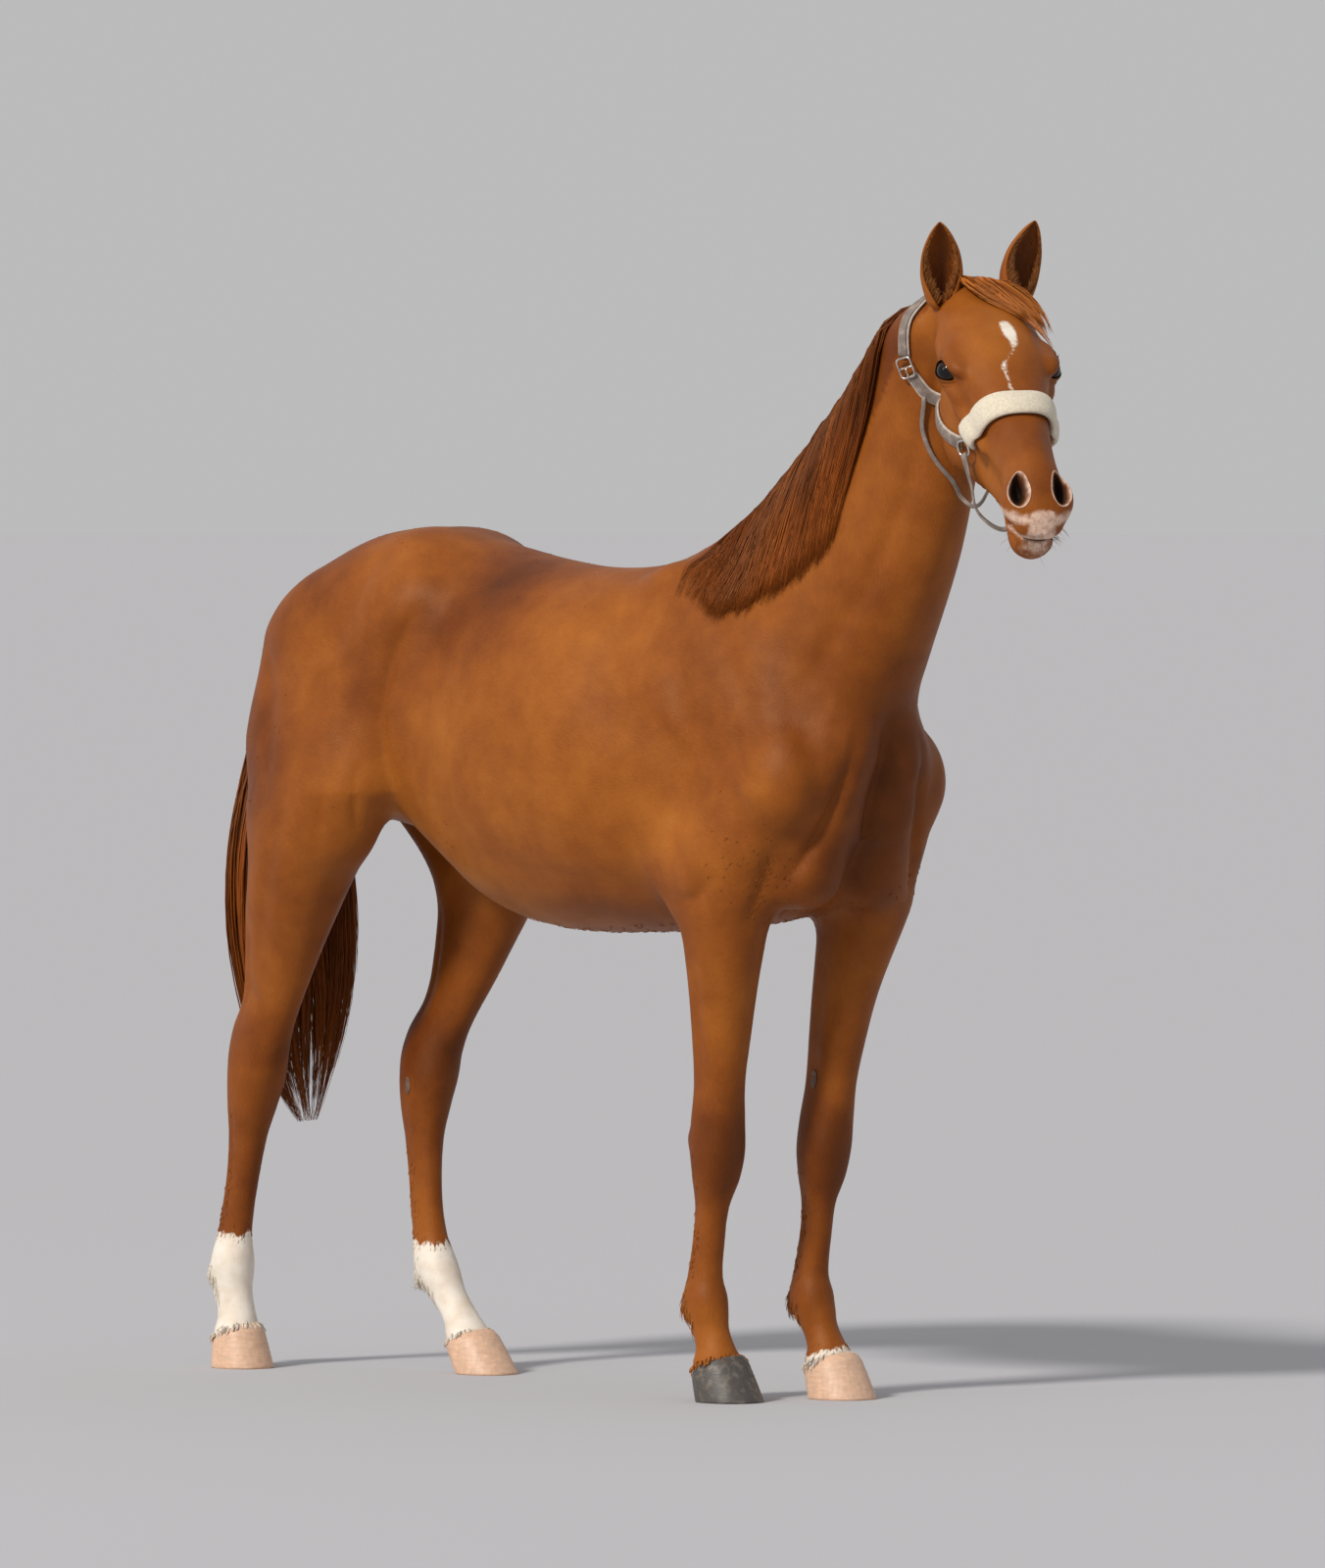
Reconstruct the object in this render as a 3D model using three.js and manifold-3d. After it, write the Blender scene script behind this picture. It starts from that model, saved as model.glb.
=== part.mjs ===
// A standing young chestnut riding horse in a headcollar, life size, in millimetres: +X towards the chest,
// +Y to the horse's left, +Z up, with the floor at Z = 0 and the origin on the floor under the middle of the
// whole horse. One smooth field describes the animal: negative inside the flesh, positive outside. Tubes of
// facets are drawn round the trunk, neck, head and legs on it, joined, and parted into pieces by thin cuts.
import * as THREE from "three";
import { mergeVertices } from "three/addons/utils/BufferGeometryUtils.js";
import Module from "manifold-3d";

const wasm = await Module();
wasm.setup();

// ---------------------------------------------------------------- driving dimensions
const GAP = 0.4; // clear space left between neighbouring pieces
const OVERLAP = 60; // how far a tube of facets follows its neighbours before it is trimmed
const WITHERS = 1534;
const CROUP = 1567;
const CHEST_FLOOR = 832;
const BARREL = 524; // greatest width of the ribs
const NECK_ROOT = [250, 0, 1330];
const NECK_SLOPE = 49; // degrees above level
const NECK_CUT = 120; // along the neck, where it is parted from the trunk
const POLL = [875, -52, 2000];
const HEAD_SCALE = 1.02; // the head's own rows below are drawn 598 long, poll to upper lip
const HEAD_PITCH = 36.5; // degrees that the nose points below level
const HEAD_YAW = -29.5; // degrees, turned to the horse's right
const HEAD_ROLL = 1.5; // degrees, left side higher
const EYE = [205, -42, 80]; // along the head, towards the forehead, out to each side
const EYE_RADIUS = 22;
const EAR_LENGTH = 146;
const FLEECE = 13; // thickness of the sleeve on the noseband
const STRAP = 6; // thickness of the halter's straps
const MANE = 20; // depth of the hair that lies on the neck
const SOLE = 0; // level of the hooves' undersides
const STAND = [-70, 20, 0]; // shift that sets the middle of the whole horse over the origin

// The joints of each leg from the top down, as [x, y, z]: hip end, stifle or elbow, middle of the gaskin or
// forearm, hock or knee, middle of the cannon, fetlock, coronet and sole.
const LEGS = {
  right_fore: {
    side: -1,
    fore: true,
    joints: [
      [338, -148, 1000], [322, -144, 900], [294, -128, 700], [266, -110, 450],
      [247, -106, 310], [232, -105, 180], [262, -105, 72], [287, -105, SOLE],
    ],
  },
  left_fore: {
    side: 1,
    fore: true,
    joints: [
      [405, 148, 1000], [386, 144, 900], [338, 128, 700], [312, 110, 450],
      [302, 106, 310], [288, 105, 180], [334, 105, 72], [360, 105, SOLE],
    ],
  },
  right_hind: {
    side: -1,
    fore: false,
    joints: [
      [-700, -170, 1080], [-802, -160, 910], [-890, -140, 745], [-970, -120, 570],
      [-1024, -105, 370], [-1058, -105, 192], [-1047, -105, 72], [-1038, -105, SOLE],
    ],
  },
  left_hind: {
    side: 1,
    fore: false,
    joints: [
      [-530, 170, 1080], [-618, 160, 910], [-682, 140, 745], [-757, 120, 570],
      [-752, 105, 370], [-720, 105, 192], [-636, 105, 72], [-590, 105, SOLE],
    ],
  },
};

// ---------------------------------------------------------------- small maths
const clamp = (v, lo, hi) => Math.min(Math.max(v, lo), hi);
const radians = (degrees) => (degrees * Math.PI) / 180;
const vec = (p) => new THREE.Vector3(...p);

// A smooth curve through rows of [t, value, value, ...], held at its end values outside them.
function curve(rows) {
  const last = rows.length - 1;
  const width = rows[0].length - 1;
  return (t) => {
    const at = clamp(t, rows[0][0], rows[last][0]);
    let i = 0;
    while (i < last - 1 && at > rows[i + 1][0]) i += 1;
    const [from, to] = [rows[i], rows[i + 1]];
    const before = rows[Math.max(i - 1, 0)];
    const after = rows[Math.min(i + 2, last)];
    const span = to[0] - from[0];
    const u = (at - from[0]) / span;
    const values = new Array(width);
    for (let k = 1; k <= width; k += 1) {
      const slopeIn = before === from ? (to[k] - from[k]) / span : (to[k] - before[k]) / (to[0] - before[0]);
      const slopeOut = after === to ? (to[k] - from[k]) / span : (after[k] - from[k]) / (after[0] - from[0]);
      const [m0, m1] = [slopeIn * span, slopeOut * span];
      const bend = 2 * (from[k] - to[k]) + m0 + m1;
      values[k - 1] = ((bend * u + (3 * (to[k] - from[k]) - 2 * m0 - m1)) * u + m0) * u + from[k];
    }
    return values;
  };
}

// ---------------------------------------------------------------- fields
const smoothMin = (a, b, blend) => {
  const h = Math.max(blend - Math.abs(a - b), 0);
  return Math.min(a, b) - (h * h) / (4 * blend);
};
const smoothMax = (a, b, blend) => -smoothMin(-a, -b, blend);

// A rounded section of half width `width` about (mid, 0), reaching from low to high.
function section(n, v, high, low, width, mid, above, below) {
  const dn = n - mid;
  const half = dn > 0 ? high - mid : mid - low;
  const power = dn > 0 ? above : below;
  const share = (Math.abs(v / width) ** power + Math.abs(dn / half) ** power) ** (1 / power);
  return share < 1e-6 ? -Math.min(width, half) : Math.hypot(v, dn) * (1 - 1 / share);
}

// Rows of [along, high, low, half width, level of the greatest width, squareness above, squareness below].
function loft(rows) {
  const at = curve(rows);
  const [start, end] = [rows[0][0], rows[rows.length - 1][0]];
  return (s, n, v) => Math.max(section(n, v, ...at(s)), start - s, s - end);
}

// An ellipsoid with its radii along X, Y and Z.
const ball = (c, r) => (x, y, z) => {
  const [dx, dy, dz] = [x - c[0], y - c[1], z - c[2]];
  const share = Math.hypot(dx / r[0], dy / r[1], dz / r[2]);
  return share < 1e-6 ? -Math.min(...r) : Math.hypot(dx, dy, dz) * (1 - 1 / share);
};

// A muscle or bone from one point to another, thicker or thinner along the way and flattened across Y.
const muscle = (from, to, fromRadius, toRadius, flat = 1) => {
  const way = to.map((v, i) => v - from[i]);
  const length2 = way.reduce((sum, v) => sum + v * v, 0);
  return (x, y, z) => {
    const p = [x - from[0], y - from[1], z - from[2]];
    const t = clamp(p.reduce((sum, v, i) => sum + v * way[i], 0) / length2, 0, 1);
    const d = p.map((v, i) => v - t * way[i]);
    const radius = fromRadius + t * (toRadius - fromRadius);
    return (Math.hypot(d[0], d[1] / flat, d[2]) - radius) * Math.sqrt(flat);
  };
};

const joined = (field, additions) => (x, y, z) =>
  additions.reduce((sum, [shape, blend]) => smoothMin(sum, shape(x, y, z), blend), field(x, y, z));

// ---------------------------------------------------------------- trunk
// Along the spine: [x, back, belly, half width, level of the ribs, squareness above, squareness below]
const RIBS = BARREL / 2;
const trunkLoft = loft([
  [-970, 1395, 1190, 55, 1300, 2, 2],
  [-900, 1454, 1110, 105, 1310, 2, 2],
  [-800, 1518, 1050, 148, 1320, 2, 2],
  [-700, 1558, 1022, 180, 1320, 2, 2],
  [-600, CROUP, 1000, 200, 1310, 1.9, 2],
  [-540, 1565, 962, 206, 1285, 1.85, 2],
  [-460, 1551, 915, 212, 1235, 1.85, 2.1],
  [-380, 1535, 872, 224, 1205, 1.9, 2.2],
  [-280, 1515, 843, 244, 1180, 2, 2.2],
  [-150, 1499, 830, 258, 1160, 2, 2.2],
  [-20, 1499, CHEST_FLOOR, RIBS, 1150, 1.9, 2.2],
  [90, 1514, 836, 248, 1150, 1.6, 2.2],
  [190, WITHERS, 842, 224, 1150, 1.45, 2.1],
  [280, 1526, 852, 200, 1150, 1.5, 2.1],
  [370, 1470, 872, 180, 1150, 1.7, 2.2],
  [450, 1400, 920, 150, 1150, 1.9, 2.2],
  [530, 1320, 1010, 95, 1160, 2, 2],
]);
const trunkMuscles = [
  [muscle([120, 96, 1450], [440, 158, 1140], 84, 92, 0.5), 60], // shoulder blade
  [ball([480, 160, 1118], [60, 52, 70]), 50], // point of the shoulder
  [muscle([175, 150, 1215], [240, 160, 985], 112, 78, 0.5), 55], // triceps
  [muscle([460, 150, 1090], [310, 158, 960], 76, 72, 0.75), 55], // upper arm
  [muscle([515, 66, 1160], [455, 78, 960], 84, 76, 0.9), 40], // breast
  [muscle([-560, 88, 1444], [-780, 98, 1386], 98, 96, 0.8), 90], // rump
  [ball([-515, 152, 1420], [72, 38, 54]), 70], // point of the hip
  [muscle([-880, 78, 1345], [-868, 100, 1180], 82, 104, 0.85), 60], // buttock
];
const trunkHalf = joined((x, y, z) => trunkLoft(x, z, y), trunkMuscles);
const trunk = (x, y, z) => trunkHalf(x, Math.abs(y), z);

// ---------------------------------------------------------------- neck
// Along the neck's own axis, sloping up from its root: [s, crest, throat, half width, level, squareness ...]
const neckUp = [Math.cos(radians(NECK_SLOPE)), Math.sin(radians(NECK_SLOPE))];
const neckLoft = loft([
  [-60, 225, -250, 190, -60, 1.8, 2.2],
  [60, 206, -318, 172, -90, 1.6, 2.2],
  [160, 182, -324, 146, -110, 1.5, 2.2],
  [300, 146, -302, 116, -110, 1.5, 2.2],
  [420, 130, -276, 98, -95, 1.5, 2.3],
  [520, 115, -246, 86, -80, 1.6, 2.3],
  [600, 101, -205, 82, -55, 1.7, 2.3],
  [680, 84, -150, 82, -30, 1.8, 2.2],
  [740, 70, -116, 86, -25, 2, 2],
  [790, 54, -104, 84, -25, 2, 2],
  [840, 26, -90, 66, -25, 2, 2],
]);
// How far the neck swings to the right along its length, and how its section leans: [s, swing, lean]
const neckSwing = curve([
  [0, 0, 0], [250, -3, 0], [450, -10, 0], [560, -18, -0.02], [650, -26, -0.12], [740, -34, -0.28],
  [800, -42, -0.33],
]);
const neckMiddle = (s, n) => {
  const [swing, lean] = neckSwing(s);
  return swing + lean * n;
};
const alongNeck = (x, z) => (x - NECK_ROOT[0]) * neckUp[0] + (z - NECK_ROOT[2]) * neckUp[1];
function neck(x, y, z) {
  const s = alongNeck(x, z);
  const n = (z - NECK_ROOT[2]) * neckUp[0] - (x - NECK_ROOT[0]) * neckUp[1];
  return neckLoft(s, n, y - neckMiddle(s, n));
}
const onNeck = (s, n, v) => [
  NECK_ROOT[0] + s * neckUp[0] - n * neckUp[1],
  v + neckMiddle(s, n),
  NECK_ROOT[2] + s * neckUp[1] + n * neckUp[0],
];

// ---------------------------------------------------------------- head
// Its own frame: s runs from the poll to the lips, n towards the forehead, v to the horse's left.
const headTurn = new THREE.Matrix4()
  .makeRotationZ(radians(HEAD_YAW))
  .multiply(new THREE.Matrix4().makeRotationY(radians(HEAD_PITCH)))
  .multiply(new THREE.Matrix4().makeRotationX(radians(HEAD_ROLL)))
  .scale(new THREE.Vector3(HEAD_SCALE, HEAD_SCALE, HEAD_SCALE))
  .setPosition(...POLL);
const headBack = headTurn.clone().invert();
const onHead = (s, n, v) => new THREE.Vector3(s, v, n).applyMatrix4(headTurn).toArray();
const skull = loft([
  [-45, -26, -115, 58, -70, 2, 2],
  [0, 2, -135, 72, -60, 2.1, 2],
  [60, 16, -155, 82, -58, 2.2, 2.2],
  [120, 25, -168, 87, -55, 2.3, 2.2],
  [180, 27, -170, 90, -50, 2.4, 2.2],
  [230, 20, -164, 84, -54, 2.4, 2.2],
  [290, 6, -152, 69, -60, 2.4, 2.2],
  [350, -4, -142, 58, -64, 2.3, 2.2],
  [410, -10, -134, 51, -68, 2.2, 2.2],
  [465, -16, -130, 49, -74, 2.1, 2.2],
  [510, -26, -130, 52, -82, 2.1, 2.2],
  [545, -42, -130, 52, -90, 2.1, 2.3],
  [575, -64, -130, 43, -100, 2.1, 2.3],
  [594, -90, -124, 26, -106, 2, 2],
]);
const jaw = loft([
  [50, -90, -175, 34, -135, 2, 2],
  [90, -80, -228, 52, -160, 2, 2.2],
  [145, -80, -258, 60, -180, 2, 2.3],
  [205, -90, -262, 59, -185, 2, 2.3],
  [260, -100, -248, 51, -182, 2, 2.2],
  [315, -110, -224, 43, -172, 2, 2.2],
  [370, -115, -202, 37, -162, 2, 2.2],
  [430, -120, -186, 34, -154, 2, 2.2],
  [480, -125, -186, 36, -152, 2, 2.2],
  [520, -128, -192, 39, -158, 2, 2.1],
  [550, -131, -184, 35, -156, 2, 2],
  [574, -134, -162, 18, -147, 2, 2],
]);
const headParts = [
  [ball([200, 80, -18], [46, 24, 18]), 18], // brow above the eye
  [ball([212, 78, -68], [42, 20, 16]), 18], // lower rim of the eye's socket
  [muscle([172, 84, -52], [104, 76, -56], 15, 14), 24], // arch of the cheekbone
  [muscle([250, 74, -88], [360, 55, -90], 12, 8), 22], // facial crest
  [ball([168, 50, -168], [88, 27, 82]), 24], // cheek muscle
  [ball([528, 42, -78], [34, 22, 32]), 18], // nostril
  [ball([524, 0, -172], [34, 28, 22]), 16], // chin
];
const nostril = muscle([510, 60, -60], [540, 56, -88], 10, 15, 1.2);
const headHalf = joined((s, v, n) => smoothMin(skull(s, n, v), jaw(s, n, v), 30), headParts);
function head(x, y, z) {
  const p = new THREE.Vector3(x, y, z).applyMatrix4(headBack);
  const v = Math.abs(p.y);
  return smoothMax(headHalf(p.x, v, p.z), -nostril(p.x, v, p.z), 10) * HEAD_SCALE;
}

// ---------------------------------------------------------------- legs
// Up each leg: [height, reach forward, reach back, half width, middle, squareness, squareness]
const FORE = [
  [-20, 76, -54, 61, 0, 2.2, 2.4],
  [SOLE, 70, -52, 58, 0, 2.2, 2.4],
  [70, 47, -44, 48, 0, 2.1, 2.2],
  [95, 42, -38, 36, 0, 2, 2],
  [130, 38, -42, 32, 0, 2, 2],
  [160, 42, -52, 36, 0, 2.1, 2],
  [188, 41, -51, 37, 0, 2.1, 2],
  [222, 32, -44, 29, -4, 2.1, 2],
  [290, 28, -40, 26, -6, 2.2, 2.1],
  [350, 31, -40, 29, -4, 2.2, 2.1],
  [400, 44, -45, 42, 0, 2.3, 2.2],
  [450, 50, -54, 47, 0, 2.4, 2.2],
  [500, 50, -56, 45, 0, 2.3, 2.2],
  [570, 52, -55, 41, 0, 2.2, 2],
  [660, 62, -60, 47, 0, 2.1, 2],
  [750, 70, -70, 56, 0, 2, 2],
  [850, 86, -90, 66, 0, 2, 2],
  [930, 98, -110, 70, 0, 2, 2],
  [1020, 104, -116, 66, 0, 2, 2],
];
const HIND = [
  [-20, 72, -52, 58, 0, 2.2, 2.4],
  [SOLE, 66, -50, 55, 0, 2.2, 2.4],
  [70, 45, -44, 45, 0, 2.1, 2.2],
  [98, 42, -38, 36, 0, 2, 2],
  [145, 39, -46, 33, 0, 2, 2],
  [180, 42, -54, 38, 0, 2.1, 2],
  [208, 40, -52, 37, 0, 2.1, 2],
  [250, 33, -45, 29, -5, 2.1, 2],
  [340, 31, -43, 26, -6, 2.2, 2.1],
  [430, 38, -48, 31, -4, 2.2, 2.1],
  [490, 50, -56, 42, 0, 2.2, 2.1],
  [545, 60, -64, 49, 0, 2.3, 2.1],
  [595, 62, -80, 45, 0, 2.2, 1.9],
  [638, 66, -88, 40, 0, 2.1, 1.6],
  [690, 74, -78, 42, 0, 2, 1.6],
  [780, 88, -94, 54, 0, 2, 1.9],
  [870, 102, -118, 72, 0, 2, 2],
  [960, 116, -140, 86, 0, 2, 2],
  [1040, 130, -170, 92, 0, 2, 2],
  [1120, 140, -180, 90, 0, 2, 2],
];

function legParts({ side, fore, joints }) {
  const [, upper, , middle, , fetlock] = joints;
  if (fore) {
    return [
      [muscle([upper[0] - 104, upper[1], 985], [upper[0] - 84, upper[1], 905], 42, 34, 0.9), 40], // elbow
      [muscle([upper[0] + 36, upper[1], 900], [middle[0] + 24, middle[1], 640], 54, 26, 0.9), 30], // extensor
      [ball([middle[0] - 46, middle[1] + side * 8, 470], [16, 13, 22]), 24], // bone behind the knee
      [ball([fetlock[0] - 44, fetlock[1], 165], [16, 15, 20]), 20], // ergot
    ];
  }
  return [
    [muscle([-560, side * 150, 1340], [upper[0] + 95, side * 172, 1075], 84, 88, 0.55), 70], // thigh, in front
    [muscle([-792, side * 134, 1330], [upper[0] - 20, side * 156, 1060], 108, 112, 0.55), 70], // and behind
    [muscle([-850, side * 96, 1190], [upper[0] - 62, side * 130, 950], 92, 62, 0.75), 60], // hamstring
    [ball([upper[0] + 118, upper[1] + side * 10, 1010], [52, 46, 58]), 46], // kneecap
    [ball([fetlock[0] - 48, fetlock[1], 174], [16, 15, 20]), 20], // ergot
  ];
}
function legField(leg) {
  const axis = curve(leg.joints.map(([x, y, z]) => [z, x, y]).reverse());
  const shape = loft(leg.fore ? FORE : HIND);
  const onAxis = (x, y, z) => {
    const [ax, ay] = axis(z);
    return shape(z, x - ax, y - ay);
  };
  return joined(onAxis, legParts(leg));
}
// The cut between a leg and the trunk: a point on it, and the way up from it. It rises outwards from the body.
const cutOf = ({ side, fore, joints }) =>
  fore
    ? { point: [joints[1][0], side * 150, 893], up: [0, -side * 0.65, 1] }
    : { point: [joints[1][0], side * 165, 972], up: [0.25, -side * 0.75, 1] };
function aboveCut(leg, x, y, z) {
  const { point, up } = cutOf(leg);
  const across = leg.side * Math.abs(y);
  return ((x - point[0]) * up[0] + (across - point[1]) * up[1] + (z - point[2]) * up[2]) / Math.hypot(...up);
}
const legs = Object.entries(LEGS).map(([name, leg]) => ({ name, ...leg, field: legField(leg) }));

// ---------------------------------------------------------------- the whole animal
const NECK_BLEND = 70;
const HEAD_BLEND = 30;
const LEG_BLEND = 60;
const blendAll = (fields) => (x, y, z) =>
  fields.reduce((sum, [field, blend]) => smoothMin(sum, field(x, y, z), blend), 1e4);

const trunkAndStubs = blendAll([
  [trunk, NECK_BLEND],
  [(x, y, z) => Math.max(neck(x, y, z), alongNeck(x, z) - NECK_CUT), NECK_BLEND],
  ...legs.map((leg) => [
    (x, y, z) => Math.max(leg.field(x, y, z), -aboveCut(leg, x, y, z)),
    LEG_BLEND,
  ]),
]);
const foreHand = blendAll([
  [trunk, NECK_BLEND],
  [neck, NECK_BLEND],
  [head, HEAD_BLEND],
]);
const within = (field, part) => (x, y, z) => Math.max(field(x, y, z), part(x, y, z) - OVERLAP);

// ---------------------------------------------------------------- facets
function solid(positions, triangles) {
  const geometry = new THREE.BufferGeometry();
  geometry.setAttribute("position", new THREE.Float32BufferAttribute(positions, 3));
  geometry.setIndex(triangles);
  const merged = mergeVertices(geometry, 1e-3);
  return new wasm.Manifold(
    new wasm.Mesh({
      numProp: 3,
      vertProperties: merged.attributes.position.array,
      triVerts: new Uint32Array(merged.index.array),
    }),
  );
}
function solidOf(geometry, matrix) {
  const g = geometry.clone().applyMatrix4(matrix);
  g.deleteAttribute("normal");
  g.deleteAttribute("uv");
  const merged = mergeVertices(g, 1e-3);
  return solid([...merged.attributes.position.array], [...merged.index.array]);
}

// How far it is from a point inside the field to its surface, along a direction.
function reach(field, from, way, level) {
  const step = 10;
  const value = (r) => field(from.x + way.x * r, from.y + way.y * r, from.z + way.z * r) - level;
  let far = step;
  while (value(far) < 0 && far < 2000) far += step;
  let near = far - step;
  for (let i = 0; i < 14; i += 1) {
    const middle = (near + far) / 2;
    if (value(middle) < 0) near = middle;
    else far = middle;
  }
  return (near + far) / 2;
}

// A closed tube of facets round a line of points, on the surface of the field, with caps of rings at the ends.
function tube(field, line, up, sides, capRings, level = 0) {
  const points = line.map(vec);
  const last = points.length - 1;
  const rings = [];
  const tangent = (i) => tangentOf(points, i);
  for (let k = capRings; k >= 1; k -= 1) rings.push([0, -k / (capRings + 1)]);
  points.forEach((_, i) => rings.push([i, 0]));
  for (let k = 1; k <= capRings; k += 1) rings.push([last, k / (capRings + 1)]);
  const place = (i, way) => points[i].clone().addScaledVector(way, reach(field, points[i], way, level));
  const positions = [];
  positions.push(...place(0, tangent(0).negate()).toArray());
  for (const [i, tilt] of rings) {
    const along = tangent(i);
    const across = new THREE.Vector3().crossVectors(vec(up), along).normalize();
    const over = new THREE.Vector3().crossVectors(along, across);
    for (let j = 0; j < sides; j += 1) {
      const turn = (2 * Math.PI * j) / sides;
      const lean = (tilt * Math.PI) / 2;
      const way = across.clone().multiplyScalar(Math.cos(turn)).addScaledVector(over, Math.sin(turn));
      way.multiplyScalar(Math.cos(lean)).addScaledVector(along, Math.sin(lean));
      positions.push(...place(i, way).toArray());
    }
  }
  positions.push(...place(last, tangent(last)).toArray());
  const end = positions.length / 3 - 1;
  const triangles = [];
  const at = (ring, j) => 1 + ring * sides + (j % sides);
  for (let j = 0; j < sides; j += 1) {
    triangles.push(0, at(0, j + 1), at(0, j));
    triangles.push(end, at(rings.length - 1, j), at(rings.length - 1, j + 1));
    for (let ring = 0; ring < rings.length - 1; ring += 1) {
      const [a, b, c, d] = [at(ring, j), at(ring, j + 1), at(ring + 1, j + 1), at(ring + 1, j)];
      triangles.push(a, b, c, a, c, d);
    }
  }
  return solid(positions, triangles);
}

// The direction of a line of points at one of them.
function tangentOf(points, i) {
  const ahead = points[Math.min(i + 1, points.length - 1)];
  return ahead.clone().sub(points[Math.max(i - 1, 0)]).normalize();
}

// Evenly spaced points from one place to another.
const spaced = (from, to, count) =>
  Array.from({ length: count }, (_, i) => from.map((v, k) => v + ((to[k] - v) * i) / (count - 1)));

// A closed bar of facets through rings of corners.
function bar(rings) {
  const sides = rings[0].length;
  const positions = rings.flat(2);
  const triangles = [];
  for (let i = 0; i < rings.length - 1; i += 1) {
    for (let j = 0; j < sides; j += 1) {
      const [a, b] = [i * sides + j, i * sides + ((j + 1) % sides)];
      triangles.push(a, b, b + sides, a, b + sides, a + sides);
    }
  }
  const end = (rings.length - 1) * sides;
  for (let j = 1; j < sides - 1; j += 1) triangles.push(0, j + 1, j, end, end + j, end + j + 1);
  return solid(positions, triangles);
}

// ---------------------------------------------------------------- cutting tools
const FAR = 3000;
const moved = (x, y, z) => new THREE.Matrix4().makeTranslation(x, y, z);
const block = (from, to) => {
  const size = to.map((v, i) => v - from[i]);
  const centre = to.map((v, i) => (v + from[i]) / 2);
  return solidOf(new THREE.BoxGeometry(...size), moved(...centre));
};

// Everything beyond a plane through a point, in the direction of its normal, starting a little later if asked.
function beyond(point, normal, later = 0) {
  const way = vec(normal).normalize();
  const turn = new THREE.Quaternion().setFromUnitVectors(new THREE.Vector3(0, 0, 1), way);
  const place = new THREE.Matrix4().makeRotationFromQuaternion(turn);
  place.setPosition(vec(point).addScaledVector(way, later));
  return solidOf(new THREE.BoxGeometry(FAR, FAR, FAR), place.multiply(moved(0, 0, FAR / 2)));
}

// A block drawn as an outline of [a, b] pairs, pulled from one depth to another and set in space by a matrix.
function drawn(outline, from, to, matrix) {
  const shape = new THREE.Shape(outline.map(([a, b]) => new THREE.Vector2(a, b)));
  const geometry = new THREE.ExtrudeGeometry(shape, { depth: to - from, bevelEnabled: false });
  return solidOf(geometry, matrix.clone().multiply(moved(0, 0, from)));
}
// Lays a side view's (x, z) out in space, with its depth towards the horse's right.
const sideView = new THREE.Matrix4().makeRotationX(Math.PI / 2);

// ---------------------------------------------------------------- head and neck
const neckTube = (level) =>
  tube(
    within(foreHand, neck),
    Array.from({ length: 12 }, (_, i) => onNeck(70 + i * 65, -52 + i * 1.8, 0)),
    [0, 0, 1],
    18,
    2,
    level,
  );
const headTube = (level) =>
  tube(
    within(foreHand, head),
    Array.from({ length: 18 }, (_, i) => onHead(8 + i * 30, -72 - 2 * i, 0)),
    [0, 0, 1],
    20,
    3,
    level,
  );
// The head is parted from the neck behind the ears and jowl and under the jaw: [along, towards forehead].
const HEAD_EDGE = [
  [-70, 160], [-34, 30], [-16, -60], [14, -140], [40, -192], [66, -222], [98, -250], [140, -282],
  [320, -320], [900, -320], [900, 160],
];
const headBlock = (shift) =>
  drawn(HEAD_EDGE.map(([s, n]) => [s - shift, n - shift]), -300, 300, headTurn.clone().multiply(sideView));
const neckPlane = onNeck(NECK_CUT, 0, 0);
const neckWay = [neckUp[0], 0, neckUp[1]];

const fleshGrown = headTube(GAP + 0.2).add(neckTube(GAP + 0.2));
const eyeball = (side, radius) =>
  solidOf(new THREE.SphereGeometry(radius, 10, 7), moved(...onHead(EYE[0], EYE[1], side * EYE[2])));
// A shallow dish opens the lids round each eye.
const DISH = { out: 31, size: [24, 18, 16] };
function dish(side) {
  const place = headTurn.clone().multiply(moved(EYE[0], side * (EYE[2] + DISH.out), EYE[1]));
  return solidOf(new THREE.SphereGeometry(1, 10, 5), place.scale(vec(DISH.size)));
}
const headSolid = headTube(0)
  .intersect(headBlock(0))
  .subtract(dish(-1))
  .subtract(dish(1))
  .subtract(eyeball(-1, EYE_RADIUS + GAP))
  .subtract(eyeball(1, EYE_RADIUS + GAP));
const neckSolid = neckTube(0)
  .intersect(beyond(neckPlane, neckWay, GAP / 2))
  .subtract(headBlock(GAP));

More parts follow.
